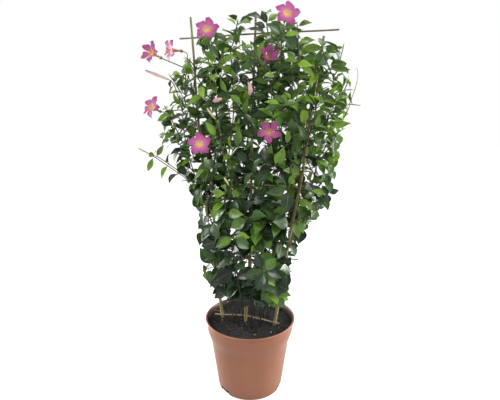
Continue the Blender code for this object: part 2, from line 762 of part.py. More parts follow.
def grow_shoot(parent, joint, end, radii, obstacles, rng, arrive=None):
    """A side shoot or stalk from a joint of its parent to an end point. Whether a way was clear."""
    row = parent.joint_rows[joint]
    centre = middle(parent.rings[row] + parent.rings[row + 1])
    number = parent.face_towards(joint, end)
    outward = parent.face(joint, number)[1]
    for attempt in range(SHOOT_TRIES):
        stray = random_vector(rng) * attempt / SHOOT_TRIES
        leave = (outward + parent.axes[row] * SHOOT_RISE + stray).normalized()
        goal = end if arrive else end + stray * SHOOT_STRAY
        path = arch(centre, leave, goal, arrive)
        path = obstacles.bend_clear(path, 2, len(path) - (3 if arrive else 1))
        joints = [] if arrive else shoot_joints(lengths_along(path)[-1])
        shoot = Shoot(path, radii, joints, parent.side, arrive)
        shoot.lay_rings(parent.radius(0.0) + SHOOT_START)
        if not obstacles.meets(shoot.rings):
            foot = [p + (path[0] - middle(shoot.rings[0])) / 2 for p in shoot.rings[0]]
            obstacles.add_path(path[2:])
            obstacles.add_shell([foot, *shoot.rings], owner=shoot)
            parent.taken[joint, number] = shoot
            return True
    return False


def shoot_joints(length):
    """Distances of the leaf pairs along a side shoot, the last one near its tip."""
    room = length - SHOOT_TIP - SHOOT_FIRST
    count = max(1, round(room / SHOOT_JOINTS))
    return [SHOOT_FIRST + room * i / count for i in range(count + 1)]


def lay_side_shoots(stems, obstacles, rng):
    """The shoots that the photo shows, then short ones that fill the plant front and back."""
    for number, height, tip in SIDE_SHOOTS:
        grow_near(stems[number], height, Vector(tip), SHOOT_RADII, obstacles, rng)
    for number, stem in enumerate(stems):
        for joint in range(1 + number % 2, len(stem.joints) - 1, OUTWARD_JOINTS):
            if len(stem.free_faces(joint)) < STEM_SIDES:
                continue
            foot = stem.face(joint, 0)[0]
            facing = -1 if foot.y < 0 else 1
            sideways = 1 if (joint + number) % 2 else -1
            reach = facing * rng.uniform(*OUTWARD_REACH)
            away = Vector((sideways * rng.uniform(*OUTWARD_SPREAD), reach, OUTWARD_RISE * rng.random()))
            grow_shoot(stem, joint, foot + away, SHOOT_RADII, obstacles, rng)


# Leaves

def leaf_sections(root, direction, normal, length, width, margin=0.0):
    """Rings of a leaf from the end of its stalk on, and its tip. The blade arches over its length."""
    side = direction.cross(normal).normalized()
    normal = side.cross(direction).normalized()
    rings = []
    centre = root
    reached = 0.0
    for part, share in ((PETIOLE_PART, None), *LEAF_SECTIONS, (1.0, 0.0)):
        angle = LEAF_BEND * max(0.0, (reached + part) / 2 - PETIOLE_PART / 2)
        along = direction * math.cos(angle) - normal * math.sin(angle)
        above = normal * math.cos(angle) + direction * math.sin(angle)
        centre = centre + along * (part - reached) * length
        reached = part
        half = PETIOLE_HALF if share is None else share * width / 2
        half += margin
        thick = LEAF_THICKNESS / 2 + margin
        rings.append([centre - side * half - above * thick, centre + side * half - above * thick,
                      centre + side * half + above * thick, centre - side * half + above * thick])
    return rings[:-1], centre + along * margin


def free_rings(root, rings):
    """Rings of a leaf from where its stalk is clear of its own stem."""
    back = (root - middle(rings[0])) * (1.0 - STALK_FREE)
    return [[p + back for p in rings[0]], *rings]


def rooted_rings(root, rings):
    """Rings of a leaf with the wide root of its stalk."""
    outer = middle(rings[0])
    return [ring(root, (root - outer).normalized(), rings[0][0] - outer, STALK_ROOT, 4), *rings]


def at_height(pair, height):
    """A value that runs from the first of a pair, for low leaves, to the second, for high ones."""
    low, high = LEAF_HEIGHTS
    share = max(0.0, min(1.0, (height - low) / (high - low)))
    return pair[0] + (pair[1] - pair[0]) * share


def values_at(rows, height):
    """Values between rows that each start with a height, or None past the last row."""
    for (low, *first), (high, *second) in zip(rows, rows[1:]):
        if low <= height <= high:
            share = (height - low) / (high - low)
            return [a + (b - a) * share for a, b in zip(first, second)]
    return None


def seen_at(point):
    """Where the line of sight through a point meets the trellis plane."""
    return PHOTO_EYE + (point - PHOTO_EYE) * PHOTO_EYE.y / (PHOTO_EYE.y - point.y)


def inside_outline(point):
    """Whether a point is within the plant's outline."""
    seen = seen_at(point)
    edges = values_at(PLANT_OUTLINE, seen.z)
    return edges is not None and edges[0] < seen.x < edges[1]


def hides_cane(point):
    """Whether a point stands before a stretch of cane that stays in sight."""
    seen = seen_at(point)
    for cane, low, high in OPEN_CANES:
        if point.y < 0 and low < seen.z < high:
            x, = values_at([(z, x) for x, z in CANES[cane]], seen.z)
            if abs(seen.x - x) < CANE_ROOM:
                return True
    return False


def try_leaf(shoot, root, outward, turned_out, axis, size, obstacles, rng):
    """A leaf that leaves its joint sideways and turns its face to the light, or None."""
    facing = max(-1.0, min(1.0, root.y / PLANT_HALF_DEPTH))
    light = Vector((LEAF_LIGHT[0] * root.x, LEAF_LIGHT[1] * facing, at_height(LEAF_LIGHT_UP, root.z)))
    forward = Vector((0.0, LEAF_FORWARD * facing, at_height(LEAF_FALL, root.z)))
    for attempt in range(LEAF_TRIES):
        loose = LEAF_LOOSEN * attempt
        stray = random_vector(rng) * (at_height(LEAF_STRAY, root.z) + loose)
        rise = axis * rng.uniform(0.0, LEAF_RISE)
        direction = (turned_out + rise + forward + stray).normalized()
        tilt = random_vector(rng) * (at_height(LEAF_TURN, root.z) + loose)
        normal = square_to(light + tilt, direction)
        grown = size * rng.uniform(*LEAF_SPREAD) * (1.0 - LEAF_SHRINK * attempt)
        length = at_height(LEAF_LENGTH, root.z) * grown
        width = at_height(LEAF_WIDTH, root.z) * grown * rng.uniform(*LEAF_SPREAD)
        if min(direction.dot(outward), direction.dot(turned_out)) < LEAF_OUTWARD:
            continue
        blade = [root + direction * length * part for part in BLADE_PARTS]
        if not inside_outline(blade[-1]) or any(hides_cane(point) for point in blade):
            continue
        rings, tip = leaf_sections(root, direction, normal, length, width, LEAF_MARGIN)
        if obstacles.meets(rooted_rings(root, rings), tip, shoot):
            continue
        if obstacles.meets(free_rings(root, rings), tip, shoot, own=True):
            continue
        rings, tip = leaf_sections(root, direction, normal, length, width)
        obstacles.add_shell(rooted_rings(root, rings), tip, shoot)
        return rings, tip
    return None


def shoots_of(stem):
    """The stem and every shoot that grows from it."""
    found = [stem]
    for item in stem.taken.values():
        if isinstance(item, Shoot):
            found += shoots_of(item)
    return found


def lay_leaves(stems, obstacles, rng):
    """A pair of leaves at each joint, each pair turned from the last."""
    for stem in stems:
        for shoot in shoots_of(stem):
            for joint, distance in enumerate(shoot.joints):
                row = shoot.joint_rows[joint]
                axis = shoot.axes[row]
                free = shoot.free_faces(joint)
                if len(free) == STEM_SIDES:
                    free = [joint % STEM_SIDES, (joint + 1) % STEM_SIDES]
                between = sum((shoot.face(joint, i)[1] for i in free), Vector())
                across = square_to(between if len(free) == 1 else axis.cross(between), axis)
                size = 1.0 - (1.0 - TIP_SIZE) * (distance / shoot.length) ** 3
                for number in free:
                    root, outward = shoot.face(joint, number)
                    turned_out = across if across.dot(outward) > 0 else -across
                    leaf = try_leaf(shoot, root, outward, turned_out, axis, size, obstacles, rng)
                    if leaf:
                        shoot.taken[joint, number] = leaf


# Meshes of the leafy stems

def turned_onto(foot, far):
    """Corners of both rings from their middles, the far ones turned to face the way the foot does,
    and whether the far ring has to run the other way round."""
    foot_middle = middle(foot)
    far_middle = middle(far)
    way = (far_middle - foot_middle).normalized()
    foot_way = (foot[1] - foot[0]).cross(foot[2] - foot[1]).normalized()
    far_way = (far[1] - far[0]).cross(far[2] - far[1]).normalized()
    flipped = foot_way.dot(way) * far_way.dot(way) < 0
    turn = (-far_way if flipped else far_way).rotation_difference(foot_way)
    return [p - foot_middle for p in foot], [turn @ (p - far_middle) for p in far], flipped


def match_ring(foot, far):
    """Order of the four points of a ring that joins it to its foot with the least twist."""
    corners, turned_far, flipped = turned_onto(foot, far)
    numbers = [3, 2, 1, 0] if flipped else [0, 1, 2, 3]

    def twist(order):
        return sum((a - turned_far[i]).length_squared for a, i in zip(corners, order))

    return min((numbers[i:] + numbers[:i] for i in range(4)), key=twist)


def model_leaf(bm, foot, leaf):
    rings, tip = leaf
    order = match_ring([v.co for v in foot], rings[0])
    near = foot
    for points in rings:
        far = new_ring(bm, [points[i] for i in order])
        bridge(bm, near, far)
        near = far
    end = bm.verts.new(tip)
    for i in range(4):
        bm.faces.new((near[i], near[(i + 1) % 4], end))


def model_shoot(bm, shoot, foot=None):
    """Rings of a shoot joined up, with what grows from the side faces that were taken."""
    near = None
    rows = {row: joint for joint, row in shoot.joint_rows.items()}
    for row, points in enumerate(shoot.rings):
        far = new_ring(bm, points)
        if near is None and foot is None:
            bm.faces.new(far)
        elif near is None:
            join_foot(bm, foot, far)
        else:
            joint = rows.get(row - 1)
            grown = {i: item for (j, i), item in shoot.taken.items() if j == joint}
            bridge(bm, near, far, grown)
            for i, item in grown.items():
                j = (i + 1) % STEM_SIDES
                corners = [near[i], near[j], far[j], far[i]]
                if isinstance(item, Shoot):
                    model_shoot(bm, item, corners)
                else:
                    model_leaf(bm, corners, item)
        near = far
    bm.faces.new(near)


def join_foot(bm, foot, far):
    """Faces from the four corners of a side face to a ring of three, two corners sharing one."""
    corners, turned_far, flipped = turned_onto([v.co for v in foot], [v.co for v in far])
    numbers = [2, 1, 0] if flipped else [0, 1, 2]
    pairs = ((0, 0), (1, 0), (2, 1), (3, 2))

    def twist(turns):
        start, point = turns
        return sum((corners[(start + i) % 4] - turned_far[numbers[(point + k) % 3]]).length_squared
                   for i, k in pairs)

    start, point = min(((i, k) for i in range(4) for k in range(3)), key=twist)
    a, b, c, d = (foot[(start + i) % 4] for i in range(4))
    x, y, z = (far[numbers[(point + i) % 3]] for i in range(3))
    bm.faces.new((a, b, x))
    bm.faces.new((b, c, y, x))
    bm.faces.new((c, d, z, y))
    bm.faces.new((d, a, x, z))


def make_leafy_stem(number, stem):
    bm = bmesh.new()
    model_shoot(bm, stem)
    finish(bm, "leafy_stem_%02d" % (number + 1), "leaf_green")


# Blooms and buds

def bloom_side(facing, turn):
    """The way across the mouth of a bloom to the first of its corners."""
    return Matrix.Rotation(math.radians(turn), 3, facing) @ square_to(UP, facing)


def lobe_rings(centre, facing, out, across, openness, margin=0.0):
    """Rings of one lobe of the corolla, past its root at the mouth, and its tip."""
    lift = LOBE_CUP * (1.0 - openness)
    mouth = TUBE_SECTIONS[-1][1]
    rings = []
    for reach, half, shift in LOBE_SECTIONS:
        radius = mouth + reach * math.cos(lift)
        height = reach * math.sin(lift) + LOBE_REFLEX * openness * (1 - (reach / LOBE_TIP[0] * 2 - 1) ** 2)
        room = radius * math.tan(math.pi / LOBES) - LOBE_SPACING
        right = min(half + shift, room) + margin
        left = min(half - shift, room) + margin
        above = (facing * math.cos(lift) - out * math.sin(lift)) * (PETAL_THICKNESS / 2 + margin)
        core = centre + out * radius + facing * (height + PETAL_THICKNESS / 2)
        rings.append([core - across * left - above, core + across * right - above,
                      core + across * right + above, core - across * left + above])
    reach, shift = LOBE_TIP
    tip = centre + out * (mouth + reach * math.cos(lift) + margin) + across * shift
    return rings, tip + facing * (reach * math.sin(lift) - LOBE_REFLEX * openness * 0.5)


def bloom_base(centre, facing):
    return centre - facing * TUBE_LENGTH


def add_bloom_obstacle(obstacles, centre, facing, openness):
    """A blunt cone and a disc, or a cup, that leave room round a bloom."""
    side = square_to(UP, facing)
    lift = LOBE_CUP * (1.0 - openness)
    reach = LOBE_TIP[0]
    rim = TUBE_SECTIONS[-1][1] + reach * math.cos(lift)
    height = reach * math.sin(lift)
    shape = ((-TUBE_LENGTH * 0.4, BLOOM_ROOM_RADIUS),
             (height - BLOOM_ROOM_BACK, rim), (height + BLOOM_ROOM_FRONT, rim))
    rings = [ring(centre + facing * z, facing, side, radius, BLOOM_ROOM_SIDES) for z, radius in shape]
    obstacles.add_shell(rings)
    obstacles.add_path([p for points in rings for p in points])
    obstacles.add_shell([ring(centre + facing * TUBE_LENGTH * (part - 1), facing, side, radius, LOBES)
                         for part, radius in TUBE_SECTIONS])


def make_bloom(name, centre, facing, turn, openness):
    """One corolla: tube outside, throat inside, and five lobes raised from the rim between them."""
    side = bloom_side(facing, turn)
    base = bloom_base(centre, facing)
    bm = bmesh.new()
    outer = [new_ring(bm, ring(base + facing * TUBE_LENGTH * part, facing, side, radius, LOBES))
             for part, radius in TUBE_SECTIONS]
    inside = base + facing * PETAL_THICKNESS
    inner = [new_ring(bm, ring(inside + facing * TUBE_LENGTH * part, facing, side, radius, LOBES))
             for part, radius in THROAT_SECTIONS[:-1]]
    bm.faces.new(outer[0])
    for near, far in (*zip(outer, outer[1:]), *zip(inner, inner[1:])):
        bridge(bm, near, far)
    apex = bm.verts.new(base + facing * TUBE_LENGTH * THROAT_SECTIONS[-1][0])
    for i in range(LOBES):
        j = (i + 1) % LOBES
        bm.faces.new((inner[-1][i], inner[-1][j], apex))
        out = square_to((outer[-1][i].co + outer[-1][j].co) / 2 - centre, facing)
        across = facing.cross(out)
        rings, tip = lobe_rings(centre, facing, out, across, openness)
        near = [outer[-1][i], outer[-1][j], inner[0][j], inner[0][i]]
        for points in rings:
            far = new_ring(bm, points)
            bridge(bm, near, far)
            near = far
        end = bm.verts.new(tip)
        for k in range(4):
            bm.faces.new((near[k], near[(k + 1) % 4], end))
    finish(bm, name, "petal_pink")


def spindle(base, tip, widest):
    """Rings of a closed flower or bud, without its tip."""
    axis = (tip - base).normalized()
    side = square_to(BUD_TURN, axis)
    return [ring(base.lerp(tip, part), axis, side, widest * share, BUD_SIDES)
            for part, share in BUD_SECTIONS]


def make_closed(name, base, tip, widest):
    bm = bmesh.new()
    near = None
    for points in spindle(base, tip, widest):
        far = new_ring(bm, points)
        if near:
            bridge(bm, near, far)
        else:
            bm.faces.new(far)
        near = far
    end = bm.verts.new(tip)
    for i in range(BUD_SIDES):
        bm.faces.new((near[i], near[(i + 1) % BUD_SIDES], end))
    finish(bm, name, "faded_pink" if name.startswith("faded") else "bud_skin")


def lay_blooms(stems, obstacles, rng):
    """Flower stalks that end in a calyx just behind each bloom and bud."""
    ends = []
    for number, height, centre, facing, _, openness in BLOOMS:
        centre = Vector(centre)
        facing = Vector(facing).normalized()
        add_bloom_obstacle(obstacles, centre, facing, openness)
        ends.append((number, height, bloom_base(centre, facing), facing))
    for number, height, base, tip, widest in CLOSED.values():
        base = Vector(base)
        tip = Vector(tip)
        obstacles.add_shell(spindle(base, tip, widest + LEAF_MARGIN), tip)
        ends.append((number, height, base, (tip - base).normalized()))
    for number, height, base, facing in ends:
        grow_near(stems[number], height, base - facing * GAP, STALK_RADII, obstacles, rng, facing)


# The whole plant

def add_trellis_obstacles(obstacles):
    for cane in CANES:
        path = smooth_path(cane_path(cane)[1:], PATH_STEP)
        obstacles.add_path(path)
        obstacles.add_shell([ring(p, UP, Vector((1, 0, 0)), cane_radius(p.z) + KNOT_SWELL, CANE_SIDES)
                             for p in path[::4] + [path[-1]]])
    for rung in RUNGS:
        path = rung_path(rung)
        obstacles.add_path(smooth_path(path, PATH_STEP))
        obstacles.add_shell([ring(p, Vector((1, 0, 0)), UP, RUNG_RADIUS, RUNG_SIDES) for p in path])
    wall = [ring(UP * z, UP, Vector((1, 0, 0)), LIP_RADIUS, POT_SIDES) for z in (0.0, POT_HEIGHT)]
    obstacles.add_shell(wall)


def main():
    clear_scene()
    rng = random.Random(7)
    obstacles = Obstacles()
    add_trellis_obstacles(obstacles)
    stems = lay_stems(obstacles)
    lay_blooms(stems, obstacles, rng)
    lay_side_shoots(stems, obstacles, rng)
    lay_leaves(stems, obstacles, rng)

    make_pot()
    feet = [make_cane(name) for name in CANES]
    feet += [(stem.path[0], stem.path[2], stem.side, stem.radius(0.0), STEM_SIDES) for stem in stems]
    make_soil(feet)
    for name in RUNGS:
        make_rung(name)
    make_rung_wire()
    for number, stem in enumerate(stems):
        make_leafy_stem(number, stem)
    for number, (_, _, centre, facing, turn, openness) in enumerate(BLOOMS, 1):
        make_bloom("bloom_%d" % number, Vector(centre), Vector(facing).normalized(), turn, openness)
    for name, (_, _, base, tip, widest) in CLOSED.items():
        make_closed(name, Vector(base), Vector(tip), widest)


main()
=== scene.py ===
"""Looks of the pink mandevilla on its fan trellis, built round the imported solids.

Metres, +Z up, in the frame of the CAD source. The plan of the stems, shoots, leaves and flowers is
worked out with the same constants and the same random draws as the solids, so each finer piece stands
where its solid does. Leaves between those of the solids are then added on the same stems.
"""

import math
import random
from collections import namedtuple

import bmesh
import bpy
from mathutils import Matrix, Vector, noise
from mathutils.bvhtree import BVHTree
from mathutils.kdtree import KDTree


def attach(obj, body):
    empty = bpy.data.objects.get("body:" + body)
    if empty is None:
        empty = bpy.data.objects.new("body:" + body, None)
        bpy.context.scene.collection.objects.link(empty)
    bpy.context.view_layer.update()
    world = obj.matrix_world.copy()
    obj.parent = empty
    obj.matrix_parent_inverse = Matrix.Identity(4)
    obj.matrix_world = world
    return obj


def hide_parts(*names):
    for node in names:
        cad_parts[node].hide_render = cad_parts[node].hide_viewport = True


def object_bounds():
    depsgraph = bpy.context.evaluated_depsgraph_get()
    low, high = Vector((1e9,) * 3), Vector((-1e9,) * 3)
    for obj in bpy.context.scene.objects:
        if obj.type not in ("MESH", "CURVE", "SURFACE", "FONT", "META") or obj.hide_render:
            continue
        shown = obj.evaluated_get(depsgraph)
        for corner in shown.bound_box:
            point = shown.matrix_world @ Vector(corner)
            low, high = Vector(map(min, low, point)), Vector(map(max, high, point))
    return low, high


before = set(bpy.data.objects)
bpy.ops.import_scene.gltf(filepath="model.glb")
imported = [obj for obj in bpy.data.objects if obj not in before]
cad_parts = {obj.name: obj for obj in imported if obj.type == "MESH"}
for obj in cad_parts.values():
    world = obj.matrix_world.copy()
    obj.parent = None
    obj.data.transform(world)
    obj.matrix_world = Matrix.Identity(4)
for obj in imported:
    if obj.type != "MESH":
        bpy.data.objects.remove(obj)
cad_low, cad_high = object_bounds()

GAP = 0.0003  # between two pieces that touch
UP = Vector((0.0, 0.0, 1.0))
RIGHT = Vector((1.0, 0.0, 0.0))
PLAN_SEED = 7  # the same as in the CAD source
LOOKS_SEED = 11

# Pot, turned about Z
POT_HEIGHT = 0.190
POT_SIDES = 36
LIP_RADIUS = 0.115
LIP_DEPTH = 0.004
COLLAR_TOP_RADIUS = 0.1125
COLLAR_FOOT_RADIUS = 0.1075
COLLAR_FOOT = 0.143
SHOULDER_RADIUS = 0.1005
SHOULDER = 0.135
FOOT_RADIUS = 0.083
FOOT_BEVEL = 0.004
POT_WALL = 0.002
POT_FLOOR = 0.0025
NOTCH_ANGLES = (-125.0, -5.0, 115.0)
NOTCH_WIDTH = 0.032
NOTCH_HEIGHT = 0.012
NOTCH_DEPTH = 0.012

# Compost
SOIL_LEVEL = 0.175
SOIL_ROUGHNESS = 0.0030
SOIL_GRAIN = 45.0

# Canes: centre lines in the trellis plane as (x, z), from the soil up
CANES = {
    "cane_left": ((-0.076, 0.177), (-0.085, 0.253), (-0.109, 0.414), (-0.118, 0.555),
                  (-0.132, 0.725), (-0.136, 0.829), (-0.141, 0.918)),
    "cane_middle": ((-0.012, 0.177), (-0.009, 0.240), (0.000, 0.363), (0.003, 0.530),
                    (0.006, 0.730), (0.012, 0.874), (0.013, 0.922)),
    "cane_right": ((0.066, 0.177), (0.088, 0.342), (0.106, 0.453), (0.126, 0.573),
                   (0.141, 0.709), (0.156, 0.814), (0.163, 0.867)),
}
CANE_DEPTH = 0.110
CANE_FOOT_RADIUS = 0.0045
CANE_TOP_RADIUS = 0.0026
CANE_TOP = 0.920
CANE_SIDES = 6
CANE_KNOTS = (0.270, 0.446, 0.622, 0.798)
KNOT_HALF = 0.003
KNOT_SWELL = 0.0005
CANE_STRIDE = 4  # every fourth point of a cane carries a ring that keeps leaves off it

# Rungs: both ends as (x, z), and the side of the left, middle and right cane on which each passes
FRONT = -1
BEHIND = 1
RUNGS = {
    "rung_1": ((-0.172, 0.873), (0.194, 0.879), (BEHIND, FRONT, BEHIND)),
    "rung_2": ((-0.161, 0.708), (0.169, 0.709), (FRONT, BEHIND, FRONT)),
    "rung_3": ((-0.135, 0.538), (0.139, 0.538), (BEHIND, FRONT, BEHIND)),
    "rung_4": ((-0.132, 0.359), (0.122, 0.360), (FRONT, BEHIND, FRONT)),
    "rung_5": ((-0.094, 0.185), (0.078, 0.184), (FRONT, BEHIND, FRONT)),
}
RUNG_RADIUS = 0.0022
RUNG_SIDES = 6
RUNG_STEP = 0.035
WIRE_RADIUS = 0.0006
WIRE_START = 0.010
WIRE_PITCH = 0.008
WIRE_TURNS = 3
WIRE_POINTS = 6

# Stems: the root of each as (x, y), and the points that it passes as (x, y, z)
STEM_ROUTES = (
    ((-0.022, -0.034), (-0.050, -0.050, 0.340), (-0.078, -0.056, 0.500),
     (-0.062, -0.052, 0.680), (-0.088, -0.042, 0.850)),
    ((-0.004, -0.040), (-0.018, -0.058, 0.350), (-0.044, -0.062, 0.520),
     (-0.022, -0.054, 0.700), (-0.036, -0.036, 0.870)),
    ((0.014, -0.036), (0.030, -0.058, 0.350), (0.046, -0.064, 0.520),
     (0.066, -0.054, 0.690), (0.046, -0.036, 0.875)),
    ((0.032, -0.026), (0.062, -0.044, 0.340), (0.098, -0.050, 0.500),
     (0.112, -0.050, 0.670), (0.122, -0.038, 0.840)),
    ((-0.034, 0.018), (-0.062, 0.044, 0.350), (-0.092, 0.050, 0.540),
     (-0.100, 0.046, 0.700), (-0.072, 0.036, 0.850)),
    ((-0.008, 0.036), (-0.014, 0.054, 0.360), (-0.036, 0.058, 0.560),
     (0.000, 0.052, 0.740), (-0.012, 0.036, 0.885)),
    ((0.018, 0.032), (0.036, 0.054, 0.350), (0.052, 0.060, 0.540),
     (0.066, 0.054, 0.720), (0.062, 0.034, 0.875)),
    ((0.040, 0.014), (0.074, 0.040, 0.370), (0.104, 0.048, 0.560),
     (0.124, 0.042, 0.730), (0.104, 0.024, 0.880)),
    ((-0.044, 0.014), (-0.082, 0.024, 0.340), (-0.128, 0.022, 0.480),
     (-0.158, -0.010, 0.620), (-0.160, -0.022, 0.740), (-0.148, -0.018, 0.830)),
    ((0.046, 0.008), (0.088, 0.022, 0.360), (0.132, 0.022, 0.480),
     (0.160, -0.010, 0.600), (0.186, -0.020, 0.720), (0.188, -0.010, 0.810)),
)
# Three more stems, each of which twines round a cane, from these roots
TWINER_ROOTS = {
    "cane_left": (-0.036, -0.020),
    "cane_middle": (0.006, 0.022),
    "cane_right": (0.030, 0.020),
}
TWINE_START = 0.300
TWINE_END = 0.850
TWINE_RADIUS = 0.012
TWINE_PITCH = 0.260
TWINE_STEP = 0.030
ROOT_DEPTH = 0.030
STRAIGHT_FOOT = (-0.010, 0.012)  # below and above the soil, where a stem stands upright
STEM_RADII = (0.0021, 0.0012)
SHOOT_RADII = (0.0014, 0.0010)
STALK_RADII = (0.0012, 0.0011)
CALYX_RADIUS = 0.0023
CALYX_LENGTH = 0.004
STEM_SIDES = 3
PATH_STEP = 0.008
BEND_ROUNDS = 40
BEND_PUSH = 0.4
BEND_SMOOTHING = 0.15
BEND_LIMIT = math.radians(20.0)
JOINT_HALF = 0.002
JOINT_MARGIN = 0.007
FIRST_JOINT = 0.245
STAGGERED_STEMS = 4
JOINT_STAGGER = 0.008  # how much higher the first joint is on each next stem of those
STEM_JOINTS = 0.084
SHOOT_START = 0.0035
SHOOT_FIRST = 0.026
SHOOT_JOINTS = 0.036
SHOOT_TIP = 0.006
CLEARANCE = 0.010
SHOOT_TRIES = 12
SHOOT_STRAY = 0.020
SHOOT_RISE = 0.5  # how much a shoot leaves along its parent, against outwards
ARCH_LEAN = 0.33
ARCH_LIFT = 0.3
CROWDING = 0.030  # how far off a joint may be for each free side more that it has

# Side shoots where the photo shows one: stem, counted from 0, height of its foot, tip
SIDE_SHOOTS = (
    (8, 0.740, (-0.180, -0.045, 0.792)),
    (8, 0.680, (-0.192, -0.050, 0.722)),
    (8, 0.600, (-0.206, -0.040, 0.660)),
    (8, 0.530, (-0.226, -0.050, 0.606)),
    (0, 0.490, (-0.128, -0.070, 0.552)),
    (0, 0.780, (-0.120, -0.070, 0.820)),
    (0, 0.830, (-0.060, -0.050, 0.872)),
    (4, 0.830, (-0.110, 0.020, 0.882)),
    (1, 0.850, (-0.012, -0.050, 0.900)),
    (2, 0.850, (0.040, -0.030, 0.915)),
    (3, 0.800, (0.110, -0.030, 0.890)),
    (9, 0.760, (0.164, -0.045, 0.842)),
    (9, 0.800, (0.206, -0.006, 0.850)),
    (9, 0.700, (0.222, -0.030, 0.778)),
    (9, 0.650, (0.226, -0.030, 0.724)),
    (9, 0.590, (0.216, -0.040, 0.676)),
    (9, 0.520, (0.200, -0.040, 0.604)),
    (9, 0.450, (0.190, -0.040, 0.536)),
    (3, 0.430, (0.138, -0.060, 0.480)),
    (3, 0.290, (0.078, -0.070, 0.330)),
    (3, 0.245, (0.080, -0.055, 0.285)),
    (0, 0.300, (-0.096, -0.055, 0.330)),
    (4, 0.300, (-0.098, 0.060, 0.340)),
)
OUTWARD_REACH = (0.050, 0.075)
OUTWARD_RISE = 0.030
OUTWARD_SPREAD = (0.018, 0.045)
OUTWARD_JOINTS = 3  # every third joint has one

# Leaves
LEAF_THICKNESS = 0.0009
LEAF_HEIGHTS = (0.40, 0.64)  # leaves below are as the first of each pair here, above as the second
LEAF_LENGTH = (0.060, 0.053)
LEAF_WIDTH = (0.0355, 0.0235)
LEAF_FALL = (-0.50, 0.12)
LEAF_LIGHT_UP = (0.45, 0.70)
LEAF_TURN = (0.28, 0.55)
LEAF_STRAY = (0.25, 0.50)
PETIOLE_HALF = 0.0010
PETIOLE_PART = 0.18
LEAF_SECTIONS = ((0.40, 0.94), (0.70, 0.80))
LEAF_BEND = math.radians(36.0)
LEAF_TRIES = 40
LEAF_MARGIN = 0.0007
STALK_ROOT = 0.0028  # radius of the stalk's root
STALK_FREE = 0.22  # part of the stalk that is free to touch its own stem
LEAF_OUTWARD = 0.30  # least cosine between a leaf and the way out of its joint
LEAF_FORWARD = 0.35
LEAF_LIGHT = (2.0, 0.75)  # sideways for each metre off the middle, and outwards
LEAF_RISE = 0.6
LEAF_LOOSEN = 0.01  # more stray at each further try
LEAF_SHRINK = 0.008
LEAF_SPREAD = (0.88, 1.12)
PLANT_HALF_DEPTH = 0.03
TIP_SIZE = 0.62

# Outline of the leaves in the trellis plane, as seen from where the photo was taken: height, left, right
PHOTO_EYE = Vector((0.279, -0.973, 0.745))
PLANT_OUTLINE = (
    (0.222, -0.100, 0.110), (0.295, -0.140, 0.107), (0.395, -0.138, 0.121), (0.455, -0.138, 0.144),
    (0.515, -0.160, 0.190), (0.540, -0.278, 0.203), (0.620, -0.278, 0.205), (0.690, -0.242, 0.225),
    (0.770, -0.202, 0.230), (0.840, -0.162, 0.195), (0.890, -0.132, 0.162), (0.935, -0.113, 0.132),
)

# Stretches of cane that stay in sight, with few leaves before them
OPEN_CANES = (
    ("cane_left", 0.430, 0.500), ("cane_left", 0.740, 0.900), ("cane_middle", 0.310, 0.370),
    ("cane_middle", 0.500, 0.550), ("cane_right", 0.365, 0.715),
)
CANE_ROOM = 0.013
BLADE_PARTS = (0.5, 0.75, 1.0)

# Blooms: stem, counted from 0, height of the stalk's foot, centre of the mouth, way it faces, turn,
# how far open
BLOOMS = (
    (2, 0.800, (0.095, -0.060, 0.905), (0.35, -0.87, 0.38), 10, 1.00),
    (0, 0.850, (-0.085, -0.050, 0.890), (-0.20, -0.40, 0.89), 40, 0.90),
    (8, 0.800, (-0.222, -0.052, 0.840), (-0.80, -0.38, 0.44), 20, 0.60),
    (8, 0.800, (-0.202, 0.010, 0.849), (-0.94, -0.36, 0.07), 55, 0.95),
    (8, 0.690, (-0.222, -0.055, 0.718), (-0.30, -0.84, 0.36), 5, 1.00),
    (0, 0.600, (-0.084, -0.104, 0.642), (0.30, -0.88, 0.43), 30, 1.00),
    (2, 0.620, (0.069, -0.096, 0.670), (0.21, -0.92, 0.38), 60, 0.75),
    (2, 0.760, (0.061, -0.080, 0.821), (0.45, -0.70, 0.55), 15, 0.35),
)
TUBE_LENGTH = 0.030
TUBE_SECTIONS = ((0.0, 0.0020), (0.38, 0.0023), (0.70, 0.0052), (1.0, 0.0068))
LOBES = 5
LOBE_REACH = 0.0190
LOBE_CUP = math.radians(70.0)
LOBE_REFLEX = 0.0027
BLOOM_ROOM_RADIUS = 0.0055
BLOOM_ROOM_SIDES = 10
BLOOM_ROOM_BACK = 0.004
BLOOM_ROOM_FRONT = 0.008
BLOOM_ROOM_FOOT = 0.4  # part of the tube that the room takes in

# Closed blooms and buds: stem, counted from 0, height of the stalk's foot, base, tip, widest radius
CLOSED = {
    "faded_bloom_1": (1, 0.720, (0.022, -0.088, 0.772), (0.026, -0.092, 0.744), 0.0058),
    "faded_bloom_2": (1, 0.690, (-0.036, -0.088, 0.738), (-0.056, -0.096, 0.732), 0.0056),
    "bud_1": (8, 0.760, (-0.178, -0.048, 0.779), (-0.236, -0.052, 0.801), 0.0052),
    "bud_2": (8, 0.560, (-0.244, -0.052, 0.612), (-0.266, -0.054, 0.622), 0.0034),
    "bud_3": (1, 0.520, (-0.017, -0.104, 0.553), (-0.029, -0.106, 0.573), 0.0032),
    "bud_4": (1, 0.640, (-0.052, -0.088, 0.694), (-0.070, -0.092, 0.718), 0.0036),
}
BUD_SECTIONS = ((0.0, 0.38), (0.25, 0.62), (0.58, 1.0), (0.84, 0.62))
BUD_SIDES = 6
BUD_TURN = Vector((0.3, 1.0, 0.2))

